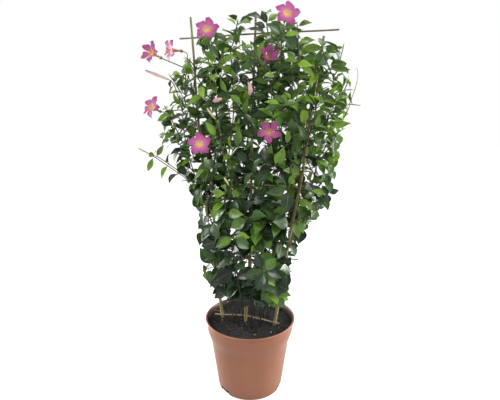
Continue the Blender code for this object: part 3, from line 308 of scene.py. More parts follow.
# Form of the leaves, as parts of their length and of their half width
LEAF_STATIONS = ((0.00, 0.05), (0.15, 0.06), (0.22, 0.36), (0.32, 0.74), (0.44, 0.97), (0.57, 0.98),
                 (0.71, 0.78), (0.84, 0.42), (0.93, 0.15), (1.00, 0.01))
LEAF_ROWS = 2
BLADE_THICKNESS = 0.010  # part of the leaf's length
BLADE_FROM = 0.2  # stations narrower than this are stalk or tip
EDGE_WAVES = (2.1, 2.7)  # radians from station to station, on the one edge and on the other
# Fold across, bend against LEAF_BEND, wave of the edge, breadth
LEAF_PATTERNS = {
    "broad_leaf": (0.10, 0.75, 0.008, 1.06),
    "folded_leaf": (0.22, 0.95, 0.014, 0.97),
    "wavy_leaf": (0.14, 0.55, 0.024, 1.00),
    "narrow_leaf": (0.20, 0.85, 0.012, 0.84),
}
BROAD_LEAVES = ("broad_leaf", "folded_leaf", "wavy_leaf")
NARROW_TONE = 0.66  # leaves brighter than this are young and narrow
NARROW_CHANCE = 0.15  # part of the other leaves that are narrow too

# Tone of a leaf, from 0, dark, to 1, bright: its own colour and youth, with painted light on outer leaves and
# painted shade on inner ones
TONE_BASE = 0.20
TONE_YOUTH = 0.22
TONE_RISE = (0.75, 0.50)  # more for each metre above the second value
# painted shade: leaves near the trellis plane, inside the plant, are darker
PAINTED_SHADE_DEPTH = (3.2, 0.058)  # more for each metre further from the trellis plane than the second
# painted light: leaves far off the middle are brighter
PAINTED_LIGHT_OUTWARDS = (2.4, 0.09)  # more for each metre further off the middle than the second
TONE_SPREADS = {"low": (-0.30, 0.16), "high": (-0.30, 0.36), "young": (-0.36, 0.08)}
TONE_DARKEST = 0.02

# Finishes: how fine each surface's patches are, and the strength and distance of its bump
WIDE = (0.30, 0.70)  # values of a noise over which a look changes slowly
NARROW = (0.35, 0.65)  # and faster
PATCHES = {"leaf": 38.0, "stem": 55.0, "pot": 9.0, "compost": 70.0, "crumb": 120.0, "petal": 60.0,
           "tube": 90.0, "closed": 110.0}
BUMPS = {"leaf": (0.6, 0.0004), "stem": (0.4, 0.0003), "stick": (0.5, 0.0004), "pot": (0.12, 0.0004),
         "compost": (1.0, 0.003), "crumb": (0.8, 0.0008), "petal": (0.5, 0.0006), "closed": (0.4, 0.0004)}
PATCH_DETAIL = 4.0
SPECK_DETAIL = 2.0
SPECK_FINENESS = 9.0  # how much finer specks are than patches

# Finish of the leaves
LEAF_PATCH_TONES = (-0.07, 0.07)
# the darkest stop leans blue, a painted bluish sheen on the leaf face
LEAF_FACE_TONES = ((0.0, (0.006, 0.019, 0.010)), (0.28, (0.016, 0.041, 0.017)),
                   (0.58, (0.062, 0.145, 0.024)), (1.0, (0.290, 0.530, 0.030)))
LEAF_BACK_TONES = ((0.0, (0.040, 0.082, 0.026)), (0.5, (0.110, 0.210, 0.042)), (1.0, (0.290, 0.460, 0.065)))
# Tones, colour of the ribs, roughness, coat
LEAF_SIDES = {
    "leaf_face": (LEAF_FACE_TONES, (0.20, 0.32, 0.09), (0.22, 0.36), 0.45),
    "leaf_back": (LEAF_BACK_TONES, (0.30, 0.38, 0.18), (0.48, 0.60), 0.0),
}
LEAF_COAT_ROUGHNESS = 0.20
LEAF_SPECULAR = 0.35
LEAF_SPECK_HEIGHT = 0.25
MIDRIB_EDGES = (0.045, 0.012)
VEIN_COUNT = 9.0
VEIN_CURVE = (1.3, 0.9)  # power and reach with which side veins bend towards the tip
VEIN_EDGES = (0.16, 0.02)
VEIN_FADE = (0.46, 0.30)  # from the leaf's edge inwards
VEIN_SHARES = {"Veins": 0.12, "Midrib": 0.34}
VEIN_DEPTH = 0.5

# Finish of the stems, canes, rungs and wire
STEM_BARKS = {
    "old_stem": ((0.055, 0.062, 0.020), (0.130, 0.160, 0.048)),
    "young_shoot": ((0.095, 0.150, 0.026), (0.21, 0.34, 0.05)),
    "flower_stalk": ((0.20, 0.16, 0.05), (0.36, 0.34, 0.12)),
}
STEM_ROUGHNESS = 0.45
DARK_FOOT = (0.220, 0.340)  # heights between which the stems lose the dark of their foot
STEM_FOOT = (0.018, 0.015, 0.009)
# Dark and light fibres, stain, weathered top, how fine the fibres are along X, Y and Z
CANE_BARK = ((0.26, 0.195, 0.080), (0.56, 0.46, 0.210), (0.17, 0.120, 0.045), (0.21, 0.205, 0.115),
             (220.0, 220.0, 9.0))
SPLIT_WOOD = ((0.34, 0.24, 0.125), (0.62, 0.50, 0.30), (0.22, 0.15, 0.08), (0.15, 0.125, 0.095),
              (9.0, 220.0, 220.0))
FIBRE_DETAIL = 4.0
FIBRE_ROUGHNESS = 0.65
STAIN_PATCHES = 60.0
STAIN_SHARES = (0.56, 0.68, 0.0, 0.65)  # values of the noise, and the share of stain at either
WEATHERED_HEIGHTS = (0.72, 0.88)
WEATHERED_SHARE = 0.75
STICK_ROUGHNESS = (0.42, 0.62)
RUNG_WAVE = (0.84, 0.06, 1.3)  # thickness against RUNG_RADIUS, its change, radians from point to point
WIRE_COLOURS = ((0.22, 0.21, 0.19), (0.50, 0.49, 0.46))
WIRE_METALLIC = 0.85
WIRE_ROUGHNESS = (0.35, 0.55)
WIRE_GRAIN = 400.0

# Form and finish of the pot and the compost
COLLAR_CURVE = (0.120, 0.170)  # heights between which the wall swings out to the collar
COLLAR_STEPS = 12
POT_SMOOTH_SIDES = 128
FOOT_ROUND = (0.0012, 0.0010)  # the middle of the foot's bevel, inwards and up
LIP_ROUND = 0.001
EDGE_ROUND = (0.0006, 0.0008)  # of the lip's lower and inner edges, across and along
POT_DARK = (0.335, 0.124, 0.060)
POT_LIGHT = (0.385, 0.148, 0.072)
# painted shade on the pot's inner wall above the compost, speckled like dust
POT_INSIDE_SHADE_AND_DUST = (0.060, 0.034, 0.034)
POT_FINISH = {"Coat_Weight": 0.50, "Coat_Roughness": 0.28, "Specular_IOR_Level": 0.35}
POT_SHADE_AND_DUST_SPECKS = (0.25, 0.60, 0.86, 0.98)
POT_ROUGHNESS = (0.34, 0.44)
INNER_WALL_LINE = 0.0903  # radius that the inner wall of the collar would have at the ground
INNER_WALL_SLOPE = 0.10638
INNER_WALL_BLEND = 0.0008
COMPOST_SIDES = 96
COMPOST_ROUGHNESS = 0.85
COMPOST_COLOURS = ((0.30, (0.005, 0.005, 0.005)), (0.55, (0.019, 0.017, 0.017)),
                   (0.72, (0.060, 0.052, 0.046)))
CRUMB_COLOURS = ((0.0, (0.007, 0.006, 0.006)), (0.6, (0.030, 0.024, 0.020)), (0.85, (0.12, 0.095, 0.060)),
                 (1.0, (0.40, 0.36, 0.20)))
CRUMB_DIRT = (0.012, 0.010, 0.009)
CRUMB_DIRT_SHARE = 0.6

# Form of the flowers. Stations: reach past the mouth, half width, sideways shift, rise at the edges
PETAL_STATIONS = (
    (-0.0036, 0.0026, 0.0, 0.0), (0.0010, 0.0056, 0.0001, 0.0), (0.0044, 0.0084, 0.0003, 0.0003),
    (0.0080, 0.0104, 0.0009, 0.0006), (0.0115, 0.0100, 0.0019, 0.0010), (0.0146, 0.0074, 0.0034, 0.0011),
    (0.0172, 0.0042, 0.0050, 0.0007), (0.0190, 0.0016, 0.0061, 0.0002), (0.0198, 0.0004, 0.0066, 0.0),
)
PETAL_ROWS = 6
PETAL_TILT = 0.0012
PETAL_WAVE = 0.0013
PETAL_RUFFLES = (2.4, 1.5)  # radians of the wave from station to station, and from middle to edge
PETAL_SHEET = 0.0005
PETAL_FOOT = -0.0012  # height of a petal's foot over the mouth
PETAL_BROAD_FROM = 0.002  # reach past which a petal takes its flower's breadth
PETAL_RUFFLE_FROM = 0.008  # reach past which it is ruffled
SHUT_NARROWING = 0.35  # how much narrower the petals of a shut flower are
TUBE_SIDES = 20
TUBE_LIP = ((0.985, 0.0065), (0.96, 0.0055), (0.948, 0.0040), (0.942, 0.0028), (0.94, 0.0006))
LIP_SLOPE = 0.5  # faces that look up more than this belong to the throat
# How ruffled and how broad each flower is, and how many degrees it leans towards the camera
FLOWER_SHAPES = {1: (1.2, 1.00, 0), 2: (3.0, 1.05, 45), 3: (2.4, 0.95, 50), 4: (1.5, 0.90, 30),
                 5: (1.4, 0.88, 0), 6: (2.2, 1.00, 0), 7: (1.6, 0.92, 0), 8: (3.0, 0.95, 0)}
LEAN_FROM = 0.4  # part of the tube's length where the lean starts
# Painted shade on these flowers' petals, tube and throat, from 0 to 1; on flower 7 it also gives the deeper
# orange throat of an older flower
SHADED_FLOWERS = {8: 0.80, 7: 0.55, 4: 0.2}
PETAL_VARIETY = 3.7  # between the streaks of one petal and the next
SEPAL = (0.0011, 0.0001, 0.0075)
SEPAL_SIDES = 6
SEPAL_LEAN = math.radians(24.0)
SEPAL_FOOT = (0.0018, 0.0, -0.0010)
STAMENS = ((0.0005, 0.016), (0.0016, 0.020), (0.0015, 0.027), (0.0004, 0.0295))
STAMEN_SIDES = 10
# Closed flowers and buds: radius and place of each ring against the widest radius and the length
CLOSED_PROFILE = ((0.42, 0.0), (0.60, 0.12), (0.80, 0.32), (1.00, 0.55), (0.82, 0.76), (0.46, 0.91),
                  (0.10, 1.0))
PLEAT_EVERY = 4  # every fourth edge along a closed flower is a pleat
# Start of the piece's name, twist in radians, depth of the pleats, breadth
CLOSED_SHAPES = {"faded_pink": ("shut_", 2.6, 0.45, 1.0), "bud_skin": ("young_", 2.0, 0.84, 0.8)}
HOOK = 0.8  # how far the middle of a faded flower hangs aside, in radii

# Finish of the flowers
PETAL_COLOURS = ((0.0, (0.86, 0.56, 0.10)), (0.10, (0.78, 0.38, 0.22)), (0.20, (0.58, 0.16, 0.36)),
                 (0.50, (0.48, 0.075, 0.28)), (1.0, (0.38, 0.045, 0.22)))
PETAL_PALE = (0.66, 0.28, 0.48)
PETAL_DEEP = (0.27, 0.025, 0.16)
PETAL_FINISH = {"Roughness": 0.55, "Sheen_Weight": 0.04, "Sheen_Roughness": 0.4}
PETAL_PATCH_SHARES = (0.45, 0.70, 0.0, 0.14)
STREAK_FINENESS = (1.2, 26.0)  # along the petal and across it
STREAK_SHARES = (0.50, 0.72, 0.0, 0.40)
PALE_ACROSS = (0.16, 0.0)
PALE_ALONG = (0.75, 0.15)
PALE_SHARE = 0.30
TUBE_COLOURS = ((0.0, (0.42, 0.45, 0.10)), (0.35, (0.78, 0.50, 0.22)), (0.7, (0.72, 0.28, 0.32)),
                (1.0, (0.55, 0.11, 0.33)))
TUBE_ROUGHNESS = 0.50
TUBE_PATCH_SHARES = (0.40, 0.70, 0.0, 0.30)
THROAT_COLOURS = ((0.80, (0.80, 0.50, 0.05)), (1.0, (0.92, 0.72, 0.14)))
THROAT_DEEP = (0.34, 0.08, 0.03)
THROAT_ROUGHNESS = 0.45
RAY_COUNT = 15.0
RAY_SHARES = (0.3, 1.0, 0.0, 0.25)
RAY_COLOUR = (0.62, 0.26, 0.04)
CLOSED_SKINS = {
    "faded_skin": ((0.0, (0.55, 0.52, 0.22)), (0.2, (0.80, 0.55, 0.50)), (0.7, (0.74, 0.38, 0.48)),
                   (1.0, (0.55, 0.22, 0.34))),
    "bud_pink": ((0.0, (0.60, 0.58, 0.26)), (0.3, (0.82, 0.62, 0.48)), (0.75, (0.70, 0.42, 0.46)),
                 (1.0, (0.16, 0.07, 0.13))),
    "bud_green": ((0.0, (0.26, 0.38, 0.08)), (0.4, (0.62, 0.62, 0.24)), (1.0, (0.72, 0.66, 0.36))),
}
PINK_BUD = "bud_1"
CLOSED_ROUGHNESS = 0.55
CLOSED_PATCH_SHIFT = (-0.08, 0.08)

# Leaves and shoots that this script adds between those of the CAD source
EXTRA_FROM = 0.235
EXTRA_STEM_STEP = 0.020  # also how far below a stem's first joint they start
EXTRA_SHOOT_STEP = 0.012
EXTRA_APART = 0.005
OPEN_ROOM = 0.030  # how far from a flower's middle no added leaf stands before it
CLOSED_ROOM = 0.018
SPARSE_LEFT_OF = -0.215  # shoots that end further left get no added leaves
EXTRA_SIZES = (0.60, 0.92)
EXTRA_MARGIN = 0.010  # how far an added leaf may pass the solids' box
ADDED_FROM = 0.40
ADDED_STEP = 0.026
ADDED_REACH = (0.028, 0.060)
ADDED_RISE = (0.2, 0.8)
ADDED_TIP = 0.004
ADDED_TRIES = 8
# Bright young growth: middle as (x, y, z), radius, tone
YOUNG_SPOTS = (
    ((0.198, -0.040, 0.678), 0.035, 0.95), ((-0.028, -0.090, 0.535), 0.040, 0.92),
    ((0.060, -0.070, 0.350), 0.042, 0.82), ((0.078, -0.060, 0.275), 0.036, 0.80),
    ((-0.200, -0.045, 0.650), 0.045, 0.72), ((0.175, -0.020, 0.835), 0.045, 0.80),
    ((0.133, -0.030, 0.885), 0.035, 0.80), ((-0.149, -0.040, 0.789), 0.035, 0.80),
    ((0.200, -0.030, 0.780), 0.040, 0.80), ((-0.095, -0.050, 0.343), 0.035, 0.70),
)

# Leaves placed one by one: stem, counted from 1, root, tip, width, youth
PLACED_LEAVES = (
    (9, (-0.2200, -0.050, 0.6010), (-0.198, -0.052, 0.630), 0.015, 0.6),
    (9, (-0.2260, -0.050, 0.6035), (-0.244, -0.054, 0.562), 0.016, 0.3),
    (9, (-0.1740, -0.044, 0.5850), (-0.138, -0.050, 0.562), 0.021, 0.0),
    (10, (0.2220, -0.034, 0.7420), (0.195, -0.045, 0.709), 0.023, 0.0),
    (3, (0.0480, -0.034, 0.8880), (0.036, -0.042, 0.918), 0.017, 0.2),
    (10, (0.1900, -0.042, 0.6790), (0.222, -0.045, 0.690), 0.016, 0.8),
    (10, (0.1880, -0.040, 0.5360), (0.193, -0.050, 0.514), 0.014, 0.6),
    (10, (0.1780, -0.040, 0.6050), (0.203, -0.045, 0.622), 0.014, 0.7),
    (10, (0.1785, -0.0183, 0.6816), (0.227, -0.045, 0.688), 0.021, 0.9),
    (10, (0.1774, -0.0172, 0.6203), (0.206, -0.045, 0.619), 0.017, 0.4),
    (10, (0.1777, -0.0239, 0.8028), (0.221, -0.045, 0.795), 0.017, 0.7),
    (10, (0.1640, -0.0450, 0.8420), (0.202, -0.045, 0.830), 0.015, 0.6),
    (10, (0.1900, -0.0400, 0.5360), (0.213, -0.045, 0.545), 0.012, 0.5),
    (10, (0.1829, -0.0327, 0.5249), (0.192, -0.045, 0.498), 0.017, 0.2),
    (10, (0.1862, -0.0254, 0.5786), (0.188, -0.045, 0.552), 0.016, 0.1),
)

# Radii of a stem against those in the plan: at its leaves, at its tip, and below its first joint
NODE_HALF = 0.004
NODE_SWELL = 1.25
TIP_RADIUS = 0.6
BARE_STEM = 0.7

# Stray bits: points of the centre line, radius at either end
STRAY_BITS = (
    (((0.224, -0.032, 0.724), (0.231, -0.038, 0.744), (0.238, -0.040, 0.770), (0.239, -0.040, 0.788),
      (0.236, -0.040, 0.799)), (0.0010, 0.0005)),
    (((0.217, -0.036, 0.727), (0.230, -0.040, 0.7265), (0.248, -0.040, 0.7245)), (0.0011, 0.0009)),
)
STRAW = (((-0.110, 0.017, 0.1795), (-0.098, 0.018, 0.1800), (-0.082, 0.019, 0.1795)), (0.0010, 0.0008))
SEEDLING = (-0.013, -0.041, 0.174)
SEEDLING_LEAF = 0.007
SEEDLING_LEAVES = 4
SEEDLING_TURN = 2.1  # radians from leaf to leaf
SEEDLING_RISE = (1.1, 0.2)  # of the first leaf against its reach, and less for each next one
SEEDLING_TONE = 0.95

# Top of the compost
SOIL_STEP = 0.003
SOIL_LUMPS = 0.0022
LUMP_GRAIN = 160.0
LUMP_OCTAVES = 3
LUMP_MIDDLE = 0.4
CRUMBS = 900
CRUMB_SPREAD = 0.955  # part of the pot's inner radius
CRUMB_SINK = 0.25
CRUMB_TILT = 0.5
CRUMB_SIZES = (0.0006, 0.0017)
BIG_CRUMBS = 0.12
BIG_SIZES = (0.0018, 0.0036)
FLAKES = 0.16
FLAKE_BEVEL = 0.3
FLAKE_SHAPE = (2.4, 0.7, 0.35)
CRUMB_SHAPE = (1.0, 0.8, 0.65)
CRUMB_TONE_POWER = 1.6  # keeps most crumbs dark

# Modelling
CELL = 0.040  # of the grid in which what stands in the way is looked up
MERGE = 0.00002
CURVE_ORDER = 4
ROUNDNESS = {"stem": 2, "cane": 4, "rung": 3, "wire": 2}
CREASES = {"soft": 60.0, "leaf": 50.0, "pot": 35.0, "crumb": 30.0}
MIX_SOCKETS = (0, 6, 7)  # share, first and second colour of a Mix node
MIX_RESULT = 2

# Stage. Lights: name, place, size, power
WORLD_STRENGTH = 0.55
FLOOR_GLOW = 0.72
FLOOR_SIZE = 12.0
FLOOR_LEVEL = -0.0002
WHITE = (1.0, 1.0, 1.0, 1.0)
FLOOR_FINISH = {"Base_Color": (0.55, 0.55, 0.55, 1.0), "Roughness": 0.9, "Emission_Color": WHITE}
LIGHTS = (
    ("soft_front_left", (-1.5, -1.7, 2.3), 1.2, 26.0),
    ("soft_right", (2.0, -0.4, 1.7), 1.2, 26.0),
    ("soft_back", (0.3, 2.0, 2.4), 1.6, 18.0),
    ("soft_left_edge", (-1.4, 0.4, 0.6), 1.0, 26.0),
    ("soft_right_edge", (1.4, 0.8, 0.6), 1.0, 24.0),
)
LIGHT_AIM = (0.0, 0.0, 0.5)
CAMERA_PLACE = (0.2789, -0.9728, 0.745)  # PHOTO_EYE is this place, rounded
CAMERA_DOWN = 13.7
CAMERA_TURN = 16.0
CAMERA_LENS = 30.96
CAMERA_SENSOR = 36.0

Leaf = namedtuple("Leaf", "root direction normal length width youth")


# Plan of the plant

def smooth_path(points, step):
    """Points about a step apart along a Catmull-Rom curve through the given ones."""
    points = [Vector(p) for p in points]
    held = [2 * points[0] - points[1], *points, 2 * points[-1] - points[-2]]
    path = []
    for before, start, end, after in zip(held, held[1:], held[2:], held[3:]):
        count = max(1, round((end - start).length / step))
        for i in range(count):
            t = i / count
            slope = (end - before) * t
            curve = (2 * before - 5 * start + 4 * end - after) * t * t
            twist = (3 * start - before - 3 * end + after) * t * t * t
            path.append((2 * start + slope + curve + twist) / 2)
    path.append(points[-1])
    return path


def lengths_along(path):
    lengths = [0.0]
    for start, end in zip(path, path[1:]):
        lengths.append(lengths[-1] + (end - start).length)
    return lengths


def point_at(path, lengths, distance):
    """The point at a distance along a path, and the path's direction there."""
    index = 0
    while index < len(path) - 2 and lengths[index + 1] < distance:
        index += 1
    step = path[index + 1] - path[index]
    return path[index] + step.normalized() * (distance - lengths[index]), step.normalized()


def middle(points):
    return sum(points, Vector()) / len(points)


def square_to(vector, axis):
    """The part of a vector that is square to an axis, at unit length."""
    return (vector - axis * vector.dot(axis)).normalized()


def ring(centre, axis, side, radius, count):
    """Points of a circle about an axis, the first one towards side."""
    side = square_to(side, axis)
    across = axis.cross(side)
    turns = [math.tau * i / count for i in range(count)]
    return [centre + (side * math.cos(a) + across * math.sin(a)) * radius for a in turns]


def inner_radius(height):
    """Radius of the pot's inner wall at a height."""
    levels = ((0.0, FOOT_RADIUS), (SHOULDER, SHOULDER_RADIUS),
              (COLLAR_FOOT, COLLAR_FOOT_RADIUS), (POT_HEIGHT, COLLAR_TOP_RADIUS))
    for (low, start), (high, end) in zip(levels, levels[1:]):
        if height <= high:
            return start + (end - start) * (height - low) / (high - low) - POT_WALL
    return COLLAR_TOP_RADIUS - POT_WALL


def cane_radius(height):
    return CANE_FOOT_RADIUS + (CANE_TOP_RADIUS - CANE_FOOT_RADIUS) * height / CANE_TOP


def cane_path(name):
    """The cane's centre line from its buried foot up."""
    points = [Vector((x, 0.0, z)) for x, z in CANES[name]]
    down = (points[0] - points[1]).normalized()
    return [points[0] + down * CANE_DEPTH, *points]


def cane_x(name, height):
    """Where a cane's centre line passes a height."""
    path = smooth_path(cane_path(name)[1:], PATH_STEP)
    return min(path, key=lambda p: abs(p.z - height)).x


def rung_path(name):
    """A rung woven past the three canes, GAP away from each."""
    (left, low), (right, high), sides = RUNGS[name]
    crossings = []
    for cane, side in zip(CANES, sides):
        x = cane_x(cane, (low + high) / 2)
        height = low + (high - low) * (x - left) / (right - left)
        crossings.append(Vector((x, side * (cane_radius(height) + RUNG_RADIUS + GAP), height)))
    first = Vector((left, crossings[0].y, low))
    last = Vector((right, crossings[-1].y, high))
    return smooth_path([first, *crossings, last], RUNG_STEP)


class Obstacles:
    """What stems bend clear of and leaves may not touch."""

    def __init__(self):
        self.points = []
        self.cells = {}

    def add_path(self, path):
        self.points += path

    def add_shell(self, rings, tip=None, owner=None):
        shell = (*shell_tree(rings, tip), owner)
        for cell in cells_between(*shell[:2]):
            self.cells.setdefault(cell, []).append(shell)

    def meets(self, rings, tip=None, owner=None, own=False):
        """Whether a closed row of rings crosses anything here that the owner lacks or, with own, has."""
        low, high, tree = shell_tree(rings, tip)
        near = {id(shell): shell for cell in cells_between(low, high) for shell in self.cells.get(cell, ())}
        for other_low, other_high, other, holder in near.values():
            if owner and (holder is owner) != own:
                continue
            apart = any(low[i] > other_high[i] or high[i] < other_low[i] for i in range(3))
            if not apart and tree.overlap(other):
                return True
        return False

    def bend_clear(self, path, first, last):
        """Push the points of a path from first to last sideways, away from what is laid already."""
        tree = KDTree(len(self.points))
        for i, point in enumerate(self.points):
            tree.insert(point, i)
        tree.balance()
        for _ in range(BEND_ROUNDS):
            for i in range(first, last):
                before = path[i - 1]
                after = path[min(i + 1, len(path) - 1)]
                along = (after - before).normalized()
                for point, _, distance in tree.find_range(path[i], CLEARANCE):
                    away = square_to(path[i] - point, along)
                    path[i] = path[i] + away * (CLEARANCE - distance) * BEND_PUSH
                after = path[min(i + 1, len(path) - 1)]
                path[i] = path[i] * (1 - 2 * BEND_SMOOTHING) + (before + after) * BEND_SMOOTHING
        return path


def cells_between(low, high):
    """Cells of a coarse grid that a box reaches into."""
    spans = [range(math.floor(low[i] / CELL), math.floor(high[i] / CELL) + 1) for i in range(3)]
    return [(x, y, z) for x in spans[0] for y in spans[1] for z in spans[2]]


def shell_tree(rings, tip):
    """Bounds and search tree of a row of rings, closed at both ends."""
    points = [p for points in rings for p in points]
    count = len(rings[0])
    faces = []
    for row in range(len(rings) - 1):
        for i in range(count):
            j = (i + 1) % count
            near = row * count
            far = near + count
            faces.append((near + i, near + j, far + j, far + i))
    faces.append(tuple(range(count)))
    last = (len(rings) - 1) * count
    if tip is None:
        faces.append(tuple(range(last, last + count)))
    else:
        points.append(tip)
        faces += [(last + i, last + (i + 1) % count, len(points) - 1) for i in range(count)]
    low = [min(p[i] for p in points) for i in range(3)]
    high = [max(p[i] for p in points) for i in range(3)]
    return low, high, BVHTree.FromPolygons(points, faces)


class Shoot:
    """A stem, side shoot or flower stalk: its centre line, its joints and its rings."""

    def __init__(self, path, radii, joints, side, calyx=None):
        self.path = path
        self.lengths = lengths_along(path)
        self.length = self.lengths[-1]
        self.radii = radii
        self.joints = joints
        self.side = side
        self.calyx = calyx
        self.taken = {}

    def radius(self, distance):
        return self.radii[0] + (self.radii[1] - self.radii[0]) * distance / self.length

    def lay_rings(self, start, straight=None):
        """Work out the rings from a start distance on, a close pair at each joint."""
        stations = {straight: None} if straight else {}
        for number, joint in enumerate(self.joints):
            stations[joint - JOINT_HALF] = number
            stations[joint + JOINT_HALF] = None
        stations[start] = stations.get(start)
        stations[self.length] = None
        heading = point_at(self.path, self.lengths, start)[1]
        for distance, here, ahead in zip(self.lengths[1:], self.path[1:], self.path[2:]):
            near_joint = any(abs(distance - s) < JOINT_MARGIN for s in stations)
            direction = (ahead - here).normalized()
            if near_joint:
                heading = direction
            elif distance > start and direction.angle(heading) > BEND_LIMIT:
                heading = direction
                stations[distance] = None
        if self.calyx:
            stations[self.length - CALYX_LENGTH] = None
        self.stations = sorted(stations)
        self.joint_rows = {}
        self.rings = []
        self.axes = []
        side = self.side
        for row, distance in enumerate(self.stations):
            centre, axis = point_at(self.path, self.lengths, distance)
            side = square_to(side, axis)
            radius = self.radius(distance)
            if self.calyx and distance == self.length:
                axis = self.calyx
                radius = CALYX_RADIUS
            self.rings.append(ring(centre, axis, side, radius, STEM_SIDES))
            self.axes.append(axis)
            if stations[distance] is not None:
                self.joint_rows[stations[distance]] = row

    def face(self, joint, number):
        """Centre and outward direction of one side face at a joint."""
        row = self.joint_rows[joint]
        near, far = self.rings[row], self.rings[row + 1]
        other = (number + 1) % STEM_SIDES
        centre = middle([near[number], near[other], far[number], far[other]])
        return centre, square_to(centre - middle(near + far), self.axes[row])

    def free_faces(self, joint):
        return [i for i in range(STEM_SIDES) if (joint, i) not in self.taken]

    def joints_near(self, height):
        """Joints with a free side, the nearest to a height first, but rather one with more free sides."""
        def distance(joint):
            return abs(self.face(joint, 0)[0].z - height) - CROWDING * len(self.free_faces(joint))

        return sorted((j for j in range(len(self.joints)) if self.free_faces(j)), key=distance)

    def face_towards(self, joint, goal):
        """The free side face that looks most towards a point."""
        def turned_to(number):
            centre, outward = self.face(joint, number)
            return outward.dot(goal - centre)

        return max(self.free_faces(joint), key=turned_to)


def stem_path(root, route):
    """From the buried root straight up out of the soil, then along the route."""
    x, y = root
    foot = [Vector((x, y, SOIL_LEVEL + height)) for height in (-ROOT_DEPTH, *STRAIGHT_FOOT)]
    return foot + smooth_path([foot[-1], *[Vector(p) for p in route]], PATH_STEP)[1:]


def twining_route(cane, root):
    """A route that climbs round a cane, from the side of its root on."""
    route = []
    count = round((TWINE_END - TWINE_START) / TWINE_STEP)
    first = math.atan2(root[1], root[0] - cane_x(cane, TWINE_START))
    for i in range(count + 1):
        height = TWINE_START + (TWINE_END - TWINE_START) * i / count
        turn = first + math.tau * (height - TWINE_START) / TWINE_PITCH
        x = cane_x(cane, height) + TWINE_RADIUS * math.cos(turn)
        route.append((x, TWINE_RADIUS * math.sin(turn), height))
    return route


def lay_stems(obstacles):
    routes = [(route[0], route[1:]) for route in STEM_ROUTES]
    routes += [(root, twining_route(cane, root)) for cane, root in TWINER_ROOTS.items()]
    foot = 1 + len(STRAIGHT_FOOT)
    stems = []
    for number, (root, route) in enumerate(routes):
        path = stem_path(root, route)
        path = obstacles.bend_clear(path, foot, len(path))
        stem = Shoot(path, STEM_RADII, [], Vector((math.cos(number), math.sin(number), 0.0)))
        lowest = FIRST_JOINT + JOINT_STAGGER * (number % STAGGERED_STEMS)
        rise = next(s for s, p in zip(stem.lengths, path) if p.z > lowest)
        count = int((stem.length - SHOOT_TIP - rise) / STEM_JOINTS)
        spacing = (stem.length - SHOOT_TIP - rise) / count
        stem.joints = [rise + spacing * i for i in range(count + 1)]
        stem.lay_rings(0.0, stem.lengths[foot - 1])
        obstacles.add_path(path[foot:])
        obstacles.add_shell(stem.rings, owner=stem)
        stems.append(stem)
    return stems


def arch(start, leave, end, arrive=None):
    """Points of a curve that leaves along one direction and may arrive along another."""
    reach = (end - start).length / 3
    first = start + leave * reach
    second = end - arrive * reach if arrive else end.lerp(start, ARCH_LEAN) + UP * reach * ARCH_LIFT
    count = max(3, round((end - start).length / PATH_STEP))
    points = []
    for i in range(count + 1):
        t = i / count
        u = 1 - t
        points.append(start * u ** 3 + first * 3 * u * u * t + second * 3 * u * t * t + end * t ** 3)
    return points


def random_vector(rng):
    return Vector((rng.uniform(-1, 1), rng.uniform(-1, 1), rng.uniform(-1, 1)))


def grow_near(parent, height, *way):
    """A side shoot or stalk from the first joint near a height that has a clear way to its end."""
    return any(grow_shoot(parent, joint, *way) for joint in parent.joints_near(height))


def grow_shoot(parent, joint, end, radii, obstacles, rng, arrive=None):
    """A side shoot or stalk from a joint of its parent to an end point. Whether a way was clear."""
    row = parent.joint_rows[joint]
    centre = middle(parent.rings[row] + parent.rings[row + 1])
    number = parent.face_towards(joint, end)
    outward = parent.face(joint, number)[1]
    for attempt in range(SHOOT_TRIES):
        stray = random_vector(rng) * attempt / SHOOT_TRIES
        leave = (outward + parent.axes[row] * SHOOT_RISE + stray).normalized()
        goal = end if arrive else end + stray * SHOOT_STRAY
        path = arch(centre, leave, goal, arrive)
        path = obstacles.bend_clear(path, 2, len(path) - (3 if arrive else 1))
        joints = [] if arrive else shoot_joints(lengths_along(path)[-1])
        shoot = Shoot(path, radii, joints, parent.side, arrive)
        shoot.lay_rings(parent.radius(0.0) + SHOOT_START)
        if not obstacles.meets(shoot.rings):
            foot = [p + (path[0] - middle(shoot.rings[0])) / 2 for p in shoot.rings[0]]
            obstacles.add_path(path[2:])
            obstacles.add_shell([foot, *shoot.rings], owner=shoot)
            parent.taken[joint, number] = shoot
            return True
    return False


def shoot_joints(length):
    """Distances of the leaf pairs along a side shoot, the last one near its tip."""
    room = length - SHOOT_TIP - SHOOT_FIRST
    count = max(1, round(room / SHOOT_JOINTS))
    return [SHOOT_FIRST + room * i / count for i in range(count + 1)]


def lay_side_shoots(stems, obstacles, rng):
    """The shoots that the photo shows, then short ones that fill the plant front and back."""
    for number, height, tip in SIDE_SHOOTS:
        grow_near(stems[number], height, Vector(tip), SHOOT_RADII, obstacles, rng)
    for number, stem in enumerate(stems):
        for joint in range(1 + number % 2, len(stem.joints) - 1, OUTWARD_JOINTS):
            if len(stem.free_faces(joint)) < STEM_SIDES:
                continue
            foot = stem.face(joint, 0)[0]
            facing = -1 if foot.y < 0 else 1
            sideways = 1 if (joint + number) % 2 else -1
            reach = facing * rng.uniform(*OUTWARD_REACH)
            away = Vector((sideways * rng.uniform(*OUTWARD_SPREAD), reach, OUTWARD_RISE * rng.random()))
            grow_shoot(stem, joint, foot + away, SHOOT_RADII, obstacles, rng)


